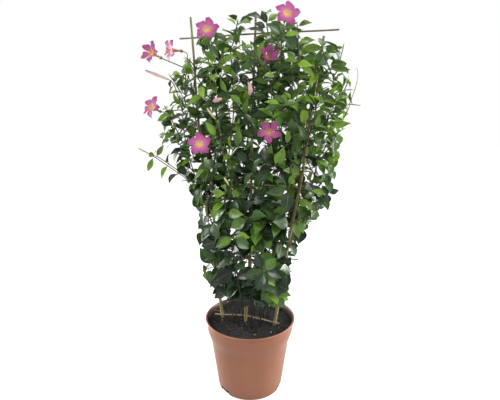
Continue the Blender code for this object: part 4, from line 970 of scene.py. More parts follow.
def leaf_sections(root, direction, normal, length, width, margin=0.0):
    """Rings of a leaf from the end of its stalk on, and its tip. The blade arches over its length."""
    side = direction.cross(normal).normalized()
    normal = side.cross(direction).normalized()
    rings = []
    centre = root
    reached = 0.0
    for part, share in ((PETIOLE_PART, None), *LEAF_SECTIONS, (1.0, 0.0)):
        angle = LEAF_BEND * max(0.0, (reached + part) / 2 - PETIOLE_PART / 2)
        along = direction * math.cos(angle) - normal * math.sin(angle)
        above = normal * math.cos(angle) + direction * math.sin(angle)
        centre = centre + along * (part - reached) * length
        reached = part
        half = PETIOLE_HALF if share is None else share * width / 2
        half += margin
        thick = LEAF_THICKNESS / 2 + margin
        rings.append([centre - side * half - above * thick, centre + side * half - above * thick,
                      centre + side * half + above * thick, centre - side * half + above * thick])
    return rings[:-1], centre + along * margin


def free_rings(root, rings):
    """Rings of a leaf from where its stalk is clear of its own stem."""
    back = (root - middle(rings[0])) * (1.0 - STALK_FREE)
    return [[p + back for p in rings[0]], *rings]


def rooted_rings(root, rings):
    """Rings of a leaf with the wide root of its stalk."""
    outer = middle(rings[0])
    foot = ring(root, (root - outer).normalized(), rings[0][0] - outer, STALK_ROOT, len(rings[0]))
    return [foot, *rings]


def at_height(pair, height):
    """A value that runs from the first of a pair, for low leaves, to the second, for high ones."""
    low, high = LEAF_HEIGHTS
    share = max(0.0, min(1.0, (height - low) / (high - low)))
    return pair[0] + (pair[1] - pair[0]) * share


def values_at(rows, height):
    """Values between rows that each start with a height, or None past the last row."""
    for (low, *first), (high, *second) in zip(rows, rows[1:]):
        if low <= height <= high:
            share = (height - low) / (high - low)
            return [a + (b - a) * share for a, b in zip(first, second)]
    return None


def seen_at(point):
    """Where the line of sight through a point meets the trellis plane."""
    return PHOTO_EYE + (point - PHOTO_EYE) * PHOTO_EYE.y / (PHOTO_EYE.y - point.y)


def inside_outline(point):
    """Whether a point is within the plant's outline."""
    seen = seen_at(point)
    edges = values_at(PLANT_OUTLINE, seen.z)
    return edges is not None and edges[0] < seen.x < edges[1]


def hides_cane(point):
    """Whether a point stands before a stretch of cane that stays in sight."""
    seen = seen_at(point)
    for cane, low, high in OPEN_CANES:
        if point.y < 0 and low < seen.z < high:
            x, = values_at([(z, x) for x, z in CANES[cane]], seen.z)
            if abs(seen.x - x) < CANE_ROOM:
                return True
    return False


def try_leaf(shoot, root, outward, turned_out, axis, size, obstacles, rng):
    """A leaf that leaves its joint sideways and turns its face to the light, or None."""
    facing = max(-1.0, min(1.0, root.y / PLANT_HALF_DEPTH))
    light = Vector((LEAF_LIGHT[0] * root.x, LEAF_LIGHT[1] * facing, at_height(LEAF_LIGHT_UP, root.z)))
    forward = Vector((0.0, LEAF_FORWARD * facing, at_height(LEAF_FALL, root.z)))
    for attempt in range(LEAF_TRIES):
        loose = LEAF_LOOSEN * attempt
        stray = random_vector(rng) * (at_height(LEAF_STRAY, root.z) + loose)
        rise = axis * rng.uniform(0.0, LEAF_RISE)
        direction = (turned_out + rise + forward + stray).normalized()
        tilt = random_vector(rng) * (at_height(LEAF_TURN, root.z) + loose)
        normal = square_to(light + tilt, direction)
        grown = size * rng.uniform(*LEAF_SPREAD) * (1.0 - LEAF_SHRINK * attempt)
        length = at_height(LEAF_LENGTH, root.z) * grown
        width = at_height(LEAF_WIDTH, root.z) * grown * rng.uniform(*LEAF_SPREAD)
        if min(direction.dot(outward), direction.dot(turned_out)) < LEAF_OUTWARD:
            continue
        blade = [root + direction * length * part for part in BLADE_PARTS]
        if not inside_outline(blade[-1]) or any(hides_cane(point) for point in blade):
            continue
        rings, tip = leaf_sections(root, direction, normal, length, width, LEAF_MARGIN)
        if obstacles.meets(rooted_rings(root, rings), tip, shoot):
            continue
        if obstacles.meets(free_rings(root, rings), tip, shoot, own=True):
            continue
        rings, tip = leaf_sections(root, direction, normal, length, width)
        obstacles.add_shell(rooted_rings(root, rings), tip, shoot)
        return Leaf(root, direction, normal, length, width, (1.0 - size) / (1.0 - TIP_SIZE))
    return None


def shoots_of(stem):
    """The stem and every shoot that grows from it."""
    found = [stem]
    for item in stem.taken.values():
        if isinstance(item, Shoot):
            found += shoots_of(item)
    return found


def lay_leaves(stems, obstacles, rng):
    """A pair of leaves at each joint, each pair turned from the last."""
    for stem in stems:
        for shoot in shoots_of(stem):
            for joint, distance in enumerate(shoot.joints):
                row = shoot.joint_rows[joint]
                axis = shoot.axes[row]
                free = shoot.free_faces(joint)
                if len(free) == STEM_SIDES:
                    free = [joint % STEM_SIDES, (joint + 1) % STEM_SIDES]
                between = sum((shoot.face(joint, i)[1] for i in free), Vector())
                across = square_to(between if len(free) == 1 else axis.cross(between), axis)
                size = 1.0 - (1.0 - TIP_SIZE) * (distance / shoot.length) ** 3
                for number in free:
                    root, outward = shoot.face(joint, number)
                    turned_out = across if across.dot(outward) > 0 else -across
                    leaf = try_leaf(shoot, root, outward, turned_out, axis, size, obstacles, rng)
                    if leaf:
                        shoot.taken[joint, number] = leaf


def bloom_side(facing, turn):
    """The way across the mouth of a bloom to the first of its corners."""
    return Matrix.Rotation(math.radians(turn), 3, facing) @ square_to(UP, facing)


def bloom_base(centre, facing):
    return centre - facing * TUBE_LENGTH


def add_bloom_obstacle(obstacles, centre, facing, openness):
    """A blunt cone and a disc, or a cup, that leave room round a bloom."""
    side = square_to(UP, facing)
    lift = LOBE_CUP * (1.0 - openness)
    reach = LOBE_REACH
    rim = TUBE_SECTIONS[-1][1] + reach * math.cos(lift)
    height = reach * math.sin(lift)
    shape = ((-TUBE_LENGTH * BLOOM_ROOM_FOOT, BLOOM_ROOM_RADIUS),
             (height - BLOOM_ROOM_BACK, rim), (height + BLOOM_ROOM_FRONT, rim))
    rings = [ring(centre + facing * z, facing, side, radius, BLOOM_ROOM_SIDES) for z, radius in shape]
    obstacles.add_shell(rings)
    obstacles.add_path([p for points in rings for p in points])
    obstacles.add_shell([ring(centre + facing * TUBE_LENGTH * (part - 1), facing, side, radius, LOBES)
                         for part, radius in TUBE_SECTIONS])


def spindle(base, tip, widest):
    """Rings of a closed flower or bud, without its tip."""
    axis = (tip - base).normalized()
    side = square_to(BUD_TURN, axis)
    return [ring(base.lerp(tip, part), axis, side, widest * share, BUD_SIDES)
            for part, share in BUD_SECTIONS]


def lay_blooms(stems, obstacles, rng):
    """Flower stalks that end in a calyx just behind each bloom and bud."""
    ends = []
    for number, height, centre, facing, _, openness in BLOOMS:
        centre = Vector(centre)
        facing = Vector(facing).normalized()
        add_bloom_obstacle(obstacles, centre, facing, openness)
        ends.append((number, height, bloom_base(centre, facing), facing))
    for number, height, base, tip, widest in CLOSED.values():
        base = Vector(base)
        tip = Vector(tip)
        obstacles.add_shell(spindle(base, tip, widest + LEAF_MARGIN), tip)
        ends.append((number, height, base, (tip - base).normalized()))
    for number, height, base, facing in ends:
        grow_near(stems[number], height, base - facing * GAP, STALK_RADII, obstacles, rng, facing)


def add_trellis_obstacles(obstacles):
    for cane in CANES:
        path = smooth_path(cane_path(cane)[1:], PATH_STEP)
        obstacles.add_path(path)
        obstacles.add_shell([ring(p, UP, RIGHT, cane_radius(p.z) + KNOT_SWELL, CANE_SIDES)
                             for p in path[::CANE_STRIDE] + [path[-1]]])
    for rung in RUNGS:
        path = rung_path(rung)
        obstacles.add_path(smooth_path(path, PATH_STEP))
        obstacles.add_shell([ring(p, RIGHT, UP, RUNG_RADIUS, RUNG_SIDES) for p in path])
    obstacles.add_shell([ring(UP * z, UP, RIGHT, LIP_RADIUS, POT_SIDES) for z in (0.0, POT_HEIGHT)])


# Modelling by hand

def only(piece):
    """Select this piece alone and make it the active one."""
    bpy.ops.object.select_all(action="DESELECT")
    piece.select_set(True)
    bpy.context.view_layer.objects.active = piece


def start(name, primitive, **settings):
    """Add a primitive with nothing else selected, and name it."""
    bpy.ops.object.select_all(action="DESELECT")
    primitive(**settings)
    made = bpy.context.active_object
    made.name = name
    return made


def finish_modifier(piece, kind, **settings):
    """Put a modifier on a piece and apply it."""
    modifier = piece.modifiers.new(kind.title(), kind)
    for name, value in settings.items():
        setattr(modifier, name, value)
    only(piece)
    bpy.ops.object.modifier_apply(modifier=modifier.name)


def pick(piece, numbers):
    """In edit mode, select the vertices with these numbers alone."""
    bpy.ops.mesh.select_all(action="DESELECT")
    bm = bmesh.from_edit_mesh(piece.data)
    bm.verts.ensure_lookup_table()
    for number in numbers:
        bm.verts[number].select_set(True)
    bm.select_flush(True)
    bmesh.update_edit_mesh(piece.data)


def face_outwards(piece):
    """Merge doubled vertices and turn all faces outwards."""
    only(piece)
    bpy.ops.object.mode_set(mode="EDIT")
    bpy.ops.mesh.select_all(action="SELECT")
    bpy.ops.mesh.remove_doubles(threshold=MERGE)
    bpy.ops.mesh.normals_make_consistent(inside=False)
    bpy.ops.object.mode_set(mode="OBJECT")


def smooth(piece, crease="soft"):
    """Shade a piece smooth but for the edges that are sharper than this crease."""
    only(piece)
    bpy.ops.object.shade_smooth_by_angle(angle=math.radians(CREASES[crease]))


def paint(piece, *materials):
    for material in materials:
        piece.data.materials.append(material)


def join(pieces, name):
    """Join pieces into one with this name."""
    only(pieces[0])
    for piece in pieces:
        piece.select_set(True)
    if len(pieces) > 1:
        bpy.ops.object.join()
    pieces[0].name = name
    pieces[0].data.name = name
    return pieces[0]


def copy_of(pattern, place, **marks):
    """A copy of a pattern with its own mesh, set in place, with a value for each named mark."""
    mesh = pattern.data.copy()
    mesh.transform(place)
    for name, value in marks.items():
        mark = mesh.attributes.new(name, "FLOAT", "FACE")
        mark.data.foreach_set("value", [value] * len(mesh.polygons))
    made = bpy.data.objects.new(pattern.name, mesh)
    bpy.context.scene.collection.objects.link(made)
    return made


def drop(*patterns):
    for pattern in patterns:
        bpy.data.objects.remove(pattern)


def place_on(origin, x_axis, y_axis, z_axis):
    """The matrix that sets a pattern's axes on these three and its origin on a point."""
    turn = Matrix((x_axis, y_axis, z_axis)).transposed().to_4x4()
    return Matrix.Translation(origin) @ turn


def show(piece, slot, *nodes):
    """The piece rides with the plant and stands for CAD nodes. The slot is not used."""
    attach(piece, "root")
    if nodes:
        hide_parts(*nodes)


def lathe(name, profile, sides):
    """Extrude a circle ring by ring along a profile of (radius, height), closed at both ends."""
    radius, height = profile[0]
    piece = start(name, bpy.ops.mesh.primitive_circle_add, vertices=sides, radius=radius,
                  location=(0, 0, height), fill_type="NGON", enter_editmode=True)
    bpy.ops.mesh.select_mode(type="EDGE")
    for next_radius, next_height in profile[1:]:
        bpy.ops.mesh.extrude_region_move(
            TRANSFORM_OT_translate={"value": (0, 0, next_height - height)})
        share = next_radius / radius
        bpy.ops.transform.resize(value=(share, share, 1), center_override=(0, 0, next_height))
        radius, height = next_radius, next_height
    bpy.ops.mesh.edge_face_add()
    bpy.ops.object.mode_set(mode="OBJECT")
    bpy.ops.object.transform_apply(location=True, rotation=True, scale=True)
    return piece


def tubes(name, paths, kind):
    """Round rods along paths of (points, radii, material number), as one mesh, as round as their kind."""
    piece = start(name, bpy.ops.curve.primitive_nurbs_path_add)
    curve = piece.data
    curve.splines.clear()
    curve.bevel_depth = 1.0
    curve.bevel_resolution = ROUNDNESS[kind]
    curve.resolution_u = 2
    curve.use_fill_caps = True
    for points, radii, number in paths:
        spline = curve.splines.new("NURBS")
        spline.points.add(len(points) - 1)
        for held, point, radius in zip(spline.points, points, radii):
            held.co = (*point, 1.0)
            held.radius = radius
        spline.order_u = min(CURVE_ORDER, len(points))
        spline.use_endpoint_u = True
        spline.material_index = number
    only(piece)
    bpy.ops.object.convert(target="MESH")
    piece = bpy.context.active_object
    face_outwards(piece)
    smooth(piece)
    return piece


# Materials

def lead(tree, node, **values):
    """Give each named input of a node a value, or a link from an output."""
    for name, value in values.items():
        feed(tree, value, node.inputs[name.replace("_", " ")])
    return node


def feed(tree, value, socket):
    if isinstance(value, bpy.types.NodeSocket):
        tree.links.new(value, socket)
    else:
        socket.default_value = value


def add(tree, kind, settings=None, **values):
    """A node with settings and with its named inputs led in."""
    made = tree.nodes.new("ShaderNode" + kind)
    for name, value in (settings or {}).items():
        setattr(made, name, value)
    return lead(tree, made, **values)


def maths(tree, operation, *values, clamp=False):
    made = add(tree, "Math", {"operation": operation, "use_clamp": clamp})
    for value, socket in zip(values, made.inputs):
        feed(tree, value, socket)
    return made.outputs[0]


def times(tree, first, second):
    return maths(tree, "MULTIPLY", first, second)


def off_half(tree, value):
    """How far a value is from one half."""
    return maths(tree, "ABSOLUTE", maths(tree, "SUBTRACT", value, 0.5))


def mix(tree, share, first, second):
    """A colour between two."""
    made = add(tree, "Mix", {"data_type": "RGBA"})
    feed(tree, share, made.inputs[MIX_SOCKETS[0]])
    for colour, number in zip((first, second), MIX_SOCKETS[1:]):
        if not isinstance(colour, bpy.types.NodeSocket):
            colour = (*colour, 1.0)
        feed(tree, colour, made.inputs[number])
    return made.outputs[MIX_RESULT]


def ramp(tree, share, *stops):
    """A colour that runs through stops of (place, colour)."""
    made = add(tree, "ValToRGB", Fac=share)
    while len(made.color_ramp.elements) < len(stops):
        made.color_ramp.elements.new(0.5)
    for element, (place, colour) in zip(made.color_ramp.elements, stops):
        element.position = place
        element.color = (*colour, 1.0)
    return made.outputs["Color"]


def fit(tree, value, low, high, to_low=0.0, to_high=1.0):
    """A value that runs from to_low to to_high while another one runs from low to high."""
    return add(tree, "MapRange", Value=value, From_Min=low, From_Max=high, To_Min=to_low,
               To_Max=to_high).outputs[0]


def mark(tree, name, output="Fac"):
    return add(tree, "Attribute", {"attribute_name": name}).outputs[output]


def place_of(tree, kind="Object"):
    return add(tree, "TexCoord").outputs[kind]


def split(tree, vector):
    """The X, Y and Z of a vector."""
    return add(tree, "SeparateXYZ", Vector=vector).outputs


def noise_of(tree, vector, scale, detail=3.0, roughness=0.5):
    made = add(tree, "TexNoise", Vector=vector, Scale=scale, Detail=detail, Roughness=roughness)
    return made.outputs["Fac"]


def bump(tree, height, kind):
    strength, distance = BUMPS[kind]
    return add(tree, "Bump", Height=height, Strength=strength, Distance=distance).outputs["Normal"]


def new_material(name, **values):
    """A material whose shader has constant values set on its own sockets."""
    material = bpy.data.materials.new(name)
    material.use_nodes = True
    tree = material.node_tree
    return material, tree, lead(tree, tree.nodes["Principled BSDF"], **values)


def new_group(name, inputs, outputs):
    group = bpy.data.node_groups.new(name, "ShaderNodeTree")
    for direction, sockets in (("INPUT", inputs), ("OUTPUT", outputs)):
        for title, kind in sockets:
            group.interface.new_socket(title, in_out=direction, socket_type="NodeSocket" + kind)
    return group, group.nodes.new("NodeGroupInput").outputs, group.nodes.new("NodeGroupOutput")


def use_group(tree, group, **values):
    return add(tree, "Group", {"node_tree": group}, **values).outputs


def blotches(tree, mottle, kind):
    """Patches and specks as fine as a kind of surface has them, fixed to the plant's place."""
    return use_group(tree, mottle, Vector=place_of(tree), Scale=PATCHES[kind])


def make_mottle_group():
    """Soft patches and fine specks that both vary a colour."""
    group, given, out = new_group("mottle", (("Vector", "Vector"), ("Scale", "Float")),
                                  (("Patches", "Float"), ("Specks", "Float")))
    patches = noise_of(group, given["Vector"], given["Scale"], PATCH_DETAIL)
    specks = noise_of(group, given["Vector"], times(group, given["Scale"], SPECK_FINENESS), SPECK_DETAIL)
    lead(group, out, Patches=patches, Specks=specks)
    return group


def make_fibre_group():
    """Long fibres along a stick, from a noise drawn out along it."""
    group, given, out = new_group("fibres", (("Vector", "Vector"), ("Stretch", "Vector")),
                                  (("Fibres", "Float"), ("Blotches", "Float")))
    drawn = add(group, "VectorMath", {"operation": "MULTIPLY"})
    feed(group, given["Vector"], drawn.inputs[0])
    feed(group, given["Stretch"], drawn.inputs[1])
    lead(group, out, Fibres=noise_of(group, drawn.outputs[0], 1.0, FIBRE_DETAIL, FIBRE_ROUGHNESS),
         Blotches=noise_of(group, given["Vector"], STAIN_PATCHES))
    return group


def make_vein_group():
    """Midrib and curved side veins of a leaf, from its UV map."""
    group, _, out = new_group("leaf_veins", (), (("Midrib", "Float"), ("Veins", "Float")))
    place = split(group, place_of(group, "UV"))
    off = off_half(group, place["Y"])
    power, reach = VEIN_CURVE
    bent = times(group, maths(group, "POWER", off, power), reach)
    along = maths(group, "SUBTRACT", place["X"], bent)
    ridge = off_half(group, maths(group, "FRACT", times(group, along, VEIN_COUNT)))
    veins = times(group, fit(group, ridge, *VEIN_EDGES), fit(group, off, *VEIN_FADE))
    lead(group, out, Midrib=fit(group, off, *MIDRIB_EDGES), Veins=veins)
    return group


def make_leaf_materials(mottle, veins):
    """Glossy green face and dull pale back of the leaves, darker or brighter by their tone, which holds
    painted light and shade.
    """
    made = []
    for name, (stops, rib, gloss, coat) in LEAF_SIDES.items():
        material, tree, shader = new_material(name, Coat_Weight=coat, Coat_Roughness=LEAF_COAT_ROUGHNESS,
                                              Specular_IOR_Level=LEAF_SPECULAR)
        blotch = blotches(tree, mottle, "leaf")
        patches = fit(tree, blotch["Patches"], *WIDE, *LEAF_PATCH_TONES)
        colour = ramp(tree, maths(tree, "ADD", mark(tree, "tone"), patches, clamp=True), *stops)
        lines = use_group(tree, veins)
        for line, share in VEIN_SHARES.items():
            colour = mix(tree, times(tree, lines[line], share), colour, rib)
        sunk = maths(tree, "SUBTRACT", times(tree, lines["Veins"], -VEIN_DEPTH), lines["Midrib"])
        sunk = maths(tree, "MULTIPLY_ADD", blotch["Specks"], LEAF_SPECK_HEIGHT, sunk)
        lead(tree, shader, Base_Color=colour, Roughness=fit(tree, blotch["Patches"], *WIDE, *gloss),
             Normal=bump(tree, sunk, "leaf"))
        made.append(material)
    return made


def make_stem_materials(mottle):
    """Brown-olive old stems, green shoots and yellowish flower stalks, all dark at the soil."""
    made = []
    for name, bark in STEM_BARKS.items():
        material, tree, shader = new_material(name, Roughness=STEM_ROUGHNESS)
        blotch = blotches(tree, mottle, "stem")
        colour = mix(tree, fit(tree, blotch["Patches"], *NARROW), *bark)
        height = split(tree, place_of(tree))["Z"]
        colour = mix(tree, fit(tree, height, *DARK_FOOT), STEM_FOOT, colour)
        lead(tree, shader, Base_Color=colour, Normal=bump(tree, blotch["Specks"], "stem"))
        made.append(material)
    return made


def make_stick_material(name, fibres, dark, light, stain, weathered, stretch):
    """A cane or stick: fibres along it, blotches of a stain, weathered towards the top."""
    material, tree, shader = new_material(name)
    place = place_of(tree)
    grain = use_group(tree, fibres, Vector=place, Stretch=stretch)
    colour = mix(tree, fit(tree, grain["Fibres"], *NARROW), dark, light)
    colour = mix(tree, fit(tree, grain["Blotches"], *STAIN_SHARES), colour, stain)
    top = fit(tree, split(tree, place)["Z"], *WEATHERED_HEIGHTS, 0.0, WEATHERED_SHARE)
    lead(tree, shader, Base_Color=mix(tree, top, colour, weathered),
         Roughness=fit(tree, grain["Fibres"], *WIDE, *STICK_ROUGHNESS),
         Normal=bump(tree, grain["Fibres"], "stick"))
    return material


def make_wire_material():
    """Dull steel."""
    material, tree, shader = new_material("dull_wire", Metallic=WIRE_METALLIC)
    specks = noise_of(tree, place_of(tree), WIRE_GRAIN)
    lead(tree, shader, Base_Color=mix(tree, specks, *WIRE_COLOURS),
         Roughness=fit(tree, specks, *WIDE, *WIRE_ROUGHNESS))
    return material


def make_pot_material(mottle):
    """Satin moulded plastic, with painted shade, speckled like dark dust, on the inner wall above the
    compost.
    """
    material, tree, shader = new_material("pot_plastic_skin", **POT_FINISH)
    blotch = blotches(tree, mottle, "pot")
    colour = mix(tree, fit(tree, blotch["Patches"], *NARROW), POT_DARK, POT_LIGHT)
    place = split(tree, place_of(tree))
    flat = add(tree, "CombineXYZ", X=place["X"], Y=place["Y"])
    off = add(tree, "VectorMath", {"operation": "LENGTH"})
    feed(tree, flat.outputs[0], off.inputs[0])
    wall = maths(tree, "SUBTRACT", off.outputs["Value"], times(tree, place["Z"], INNER_WALL_SLOPE))
    inside = fit(tree, wall, INNER_WALL_LINE + INNER_WALL_BLEND, INNER_WALL_LINE)
    inside = times(tree, inside, fit(tree, place["Z"], COLLAR_CURVE[1], SOIL_LEVEL))
    # painted shade on the inner wall above the compost, in dusty specks
    inner_shade_and_dust = times(tree, inside, fit(tree, blotch["Specks"], *POT_SHADE_AND_DUST_SPECKS))
    lead(tree, shader, Base_Color=mix(tree, inner_shade_and_dust, colour, POT_INSIDE_SHADE_AND_DUST),
         Roughness=fit(tree, blotch["Specks"], *WIDE, *POT_ROUGHNESS),
         Normal=bump(tree, blotch["Specks"], "pot"))
    return material


def make_compost_materials(mottle):
    """The damp body of the compost, and its crumbs, darker or paler by their tone."""
    body, tree, shader = new_material("damp_compost", Roughness=COMPOST_ROUGHNESS)
    blotch = blotches(tree, mottle, "compost")
    lead(tree, shader, Base_Color=ramp(tree, blotch["Specks"], *COMPOST_COLOURS),
         Normal=bump(tree, blotch["Specks"], "compost"))
    crumb, tree, shader = new_material("compost_crumb", Roughness=COMPOST_ROUGHNESS)
    blotch = blotches(tree, mottle, "crumb")
    dirt = fit(tree, blotch["Specks"], *WIDE, 0.0, CRUMB_DIRT_SHARE)
    colour = mix(tree, dirt, ramp(tree, mark(tree, "tone"), *CRUMB_COLOURS), CRUMB_DIRT)
    lead(tree, shader, Base_Color=colour, Normal=bump(tree, blotch["Specks"], "crumb"))
    return body, crumb


def make_petal_material(mottle):
    """Petals: yellow at the throat, paler along their middle, streaked with a deeper pink."""
    material, tree, shader = new_material("petal_skin", **PETAL_FINISH)
    place = split(tree, place_of(tree, "UV"))
    along = place["X"]
    blotch = blotches(tree, mottle, "petal")
    lengthways, crossways = STREAK_FINENESS
    streak = add(tree, "CombineXYZ", X=times(tree, along, lengthways), Y=times(tree, place["Y"], crossways),
                 Z=mark(tree, "tone"))
    streaks = noise_of(tree, streak.outputs[0], 1.0, SPECK_DETAIL)
    pale = times(tree, fit(tree, off_half(tree, place["Y"]), *PALE_ACROSS), fit(tree, along, *PALE_ALONG))
    colour = mix(tree, times(tree, pale, PALE_SHARE), ramp(tree, along, *PETAL_COLOURS), PETAL_PALE)
    colour = mix(tree, fit(tree, streaks, *STREAK_SHARES), colour, PETAL_DEEP)
    colour = mix(tree, fit(tree, blotch["Patches"], *PETAL_PATCH_SHARES), colour, PETAL_PALE)
    # painted shade on the flowers in SHADED_FLOWERS
    colour = mix(tree, mark(tree, "shade"), colour, PETAL_DEEP)
    lead(tree, shader, Base_Color=colour, Normal=bump(tree, streaks, "petal"))
    return material


def make_tube_material(mottle):
    """The outside of a flower's tube, from its green foot to the pink of the petals."""
    material, tree, shader = new_material("flower_tube", Roughness=TUBE_ROUGHNESS)
    height = split(tree, mark(tree, "own", "Vector"))["Z"]
    colour = ramp(tree, fit(tree, height, 0.0, TUBE_LENGTH), *TUBE_COLOURS)
    blotch = blotches(tree, mottle, "tube")
    colour = mix(tree, fit(tree, blotch["Patches"], *TUBE_PATCH_SHARES), colour, PETAL_PALE)
    # painted shade on the flowers in SHADED_FLOWERS
    lead(tree, shader, Base_Color=mix(tree, mark(tree, "shade"), colour, PETAL_DEEP))
    return material


def make_throat_material():
    """The yellow throat, with darker rays."""
    material, tree, shader = new_material("flower_throat", Roughness=THROAT_ROUGHNESS)
    place = split(tree, mark(tree, "own", "Vector"))
    turn = maths(tree, "ARCTAN2", place["Y"], place["X"])
    rays = maths(tree, "SINE", times(tree, turn, RAY_COUNT))
    colour = ramp(tree, fit(tree, place["Z"], 0.0, TUBE_LENGTH), *THROAT_COLOURS)
    colour = mix(tree, fit(tree, rays, *RAY_SHARES), colour, RAY_COLOUR)
    # painted shade on the flowers in SHADED_FLOWERS
    lead(tree, shader, Base_Color=mix(tree, mark(tree, "shade"), colour, THROAT_DEEP))
    return material


def make_closed_materials(mottle):
    """Skins of the faded flowers and of the buds, from base to tip, by name."""
    made = {}
    for name, stops in CLOSED_SKINS.items():
        made[name], tree, shader = new_material(name, Roughness=CLOSED_ROUGHNESS)
        blotch = blotches(tree, mottle, "closed")
        patches = fit(tree, blotch["Patches"], *WIDE, *CLOSED_PATCH_SHIFT)
        along = split(tree, mark(tree, "own", "Vector"))["Z"]
        colour = ramp(tree, maths(tree, "ADD", along, patches, clamp=True), *stops)
        lead(tree, shader, Base_Color=colour, Normal=bump(tree, blotch["Specks"], "closed"))
    return made


# Leaves

def grid_columns(piece, count):
    """Vertex numbers of a unit grid, column by column along X, each from low Y to high."""
    columns = [[] for _ in range(count)]
    for vert in sorted(piece.data.vertices, key=lambda v: v.co.y):
        columns[round((vert.co.x + 0.5) * (count - 1))].append(vert.index)
    return columns


def new_blade(name, columns, rows):
    """A flat unit grid that becomes a blade, in edit mode, and its columns."""
    blade = start(name, bpy.ops.mesh.primitive_grid_add, x_subdivisions=columns - 1, y_subdivisions=rows,
                  size=1.0)
    found = grid_columns(blade, columns)
    bpy.ops.object.mode_set(mode="EDIT")
    bpy.ops.mesh.select_mode(type="VERT")
    return blade, found


def set_column(blade, numbers, place, width):
    """Widen one column about its middle and move it to its place."""
    pick(blade, numbers)
    bpy.ops.transform.resize(value=(1.0, width, width), center_override=(0.0, 0.0, 0.0))
    bpy.ops.transform.translate(value=place)


def lift(blade, numbers, height):
    pick(blade, numbers)
    bpy.ops.transform.translate(value=(0.0, 0.0, height))


def make_leaf_pattern(name, fold, bend, wave, breadth, materials):
    """A leaf of unit length along X and unit width, face up, with its fold, arch and waved edge."""
    count = len(LEAF_STATIONS)
    leaf, columns = new_blade(name, count, LEAF_ROWS)
    for row in (0, LEAF_ROWS):
        lift(leaf, [numbers[row] for numbers in columns], fold / 2)
    x = z = reached = 0.0
    for i, (part, share) in enumerate(LEAF_STATIONS):
        angle = bend * LEAF_BEND * max(0.0, (reached + part) / 2 - PETIOLE_PART / 2)
        x += (part - reached) * math.cos(angle)
        z -= (part - reached) * math.sin(angle)
        reached = part
        start = i / (count - 1) - 0.5
        blade = share > BLADE_FROM
        set_column(leaf, columns[i], (x - start, 0.0, z), share * (breadth if blade else 1.0))
        if blade:
            lift(leaf, columns[i][:1], wave * math.sin(EDGE_WAVES[0] * i))
            lift(leaf, columns[i][-1:], wave * math.cos(EDGE_WAVES[1] * i))
    bpy.ops.object.mode_set(mode="OBJECT")
    paint(leaf, *materials)
    finish_modifier(leaf, "SOLIDIFY", thickness=BLADE_THICKNESS, offset=-1.0, material_offset=1,
                    material_offset_rim=1)
    smooth(leaf, "leaf")
    return leaf


def above(value, rule):
    """How much a tone gains by a value, from a rule of (gain, start)."""
    gain, start = rule
    return gain * (value - start)


def leaf_tone_with_painted_light(leaf, rng):
    """How bright a leaf is: young tips and upper leaves are brighter; outer leaves are brighter and inner
    ones darker, as painted light and shade.
    """
    place = leaf.root + leaf.direction * leaf.length / 2
    tone = TONE_BASE + TONE_YOUTH * leaf.youth + above(place.z, TONE_RISE)
    tone += rng.uniform(*TONE_SPREADS["high" if place.z > LEAF_HEIGHTS[0] else "low"])
    # painted light and shade: outer leaves brighter, inner leaves darker
    tone += above(abs(place.y), PAINTED_SHADE_DEPTH) + max(0.0, above(abs(place.x), PAINTED_LIGHT_OUTWARDS))
    for spot, radius, bright in YOUNG_SPOTS:
        if (place - Vector(spot)).length < radius:
            tone = bright + rng.uniform(*TONE_SPREADS["young"])
    return max(TONE_DARKEST, min(1.0, tone))


def set_leaves(number, leaves, patterns, rng):
    """Copies of the leaf patterns on one stem, as one piece."""
    made = []
    for leaf in leaves:
        across = leaf.normal.cross(leaf.direction)
        mirror = -1.0 if rng.random() < 0.5 else 1.0
        # the tone holds painted light and shade
        tone = leaf_tone_with_painted_light(leaf, rng)
        narrow = tone > NARROW_TONE or rng.random() < NARROW_CHANCE
        name = "narrow_leaf" if narrow else rng.choice(BROAD_LEAVES)
        place = place_on(leaf.root, leaf.direction * leaf.length, across * leaf.width * mirror,
                         leaf.normal * leaf.length)
        copy = copy_of(patterns[name], place, tone=tone)
        if mirror < 0:
            copy.data.flip_normals()
        made.append(copy)
    show(join(made, "leaves_%02d" % number), "leaf_green", "leafy_stem_%02d" % number)


def stem_radii(shoot):
    """Radii along a shoot: thinner near the soil, swollen where its leaves stand, drawn in at its tip."""
    radii = []
    for point, distance in zip(shoot.path, shoot.lengths):
        radius = shoot.radius(distance) * (BARE_STEM if point.z < FIRST_JOINT else 1.0)
        near = min((abs(distance - joint) for joint in shoot.joints), default=1.0)
        radii.append(radius * (NODE_SWELL if near < NODE_HALF else 1.0))
    if not shoot.calyx:
        radii[-1] *= TIP_RADIUS
    return radii


def model_stems(number, stem, materials):
    """The stem, its side shoots and its flower stalks as one piece."""
    paths = []
    for shoot in shoots_of(stem) + stem.added:
        kind = 0 if shoot is stem else (2 if shoot.calyx else 1)
        paths.append((shoot.path, stem_radii(shoot), kind))
    piece = tubes("stem_%02d" % number, paths, "stem")
    paint(piece, *materials)
    show(piece, "leaf_green", "leafy_stem_%02d" % number)


# Leaves between those of the CAD source

def inside_box(point):
    return all(cad_low[i] - EXTRA_MARGIN < point[i] < cad_high[i] + EXTRA_MARGIN for i in range(3))


def hides_flower(leaf):
    """Whether a leaf stands between the camera and a flower or bud."""
    flowers = [(Vector(bloom[2]), OPEN_ROOM) for bloom in BLOOMS]
    flowers += [(Vector(base).lerp(Vector(tip), 0.5), CLOSED_ROOM) for _, _, base, tip, _ in CLOSED.values()]
    for part in BLADE_PARTS:
        point = leaf.root + leaf.direction * leaf.length * part
        for centre, room in flowers:
            nearer = (point - PHOTO_EYE).length < (centre - PHOTO_EYE).length
            if nearer and (seen_at(point) - seen_at(centre)).length < room:
                return True
    return False


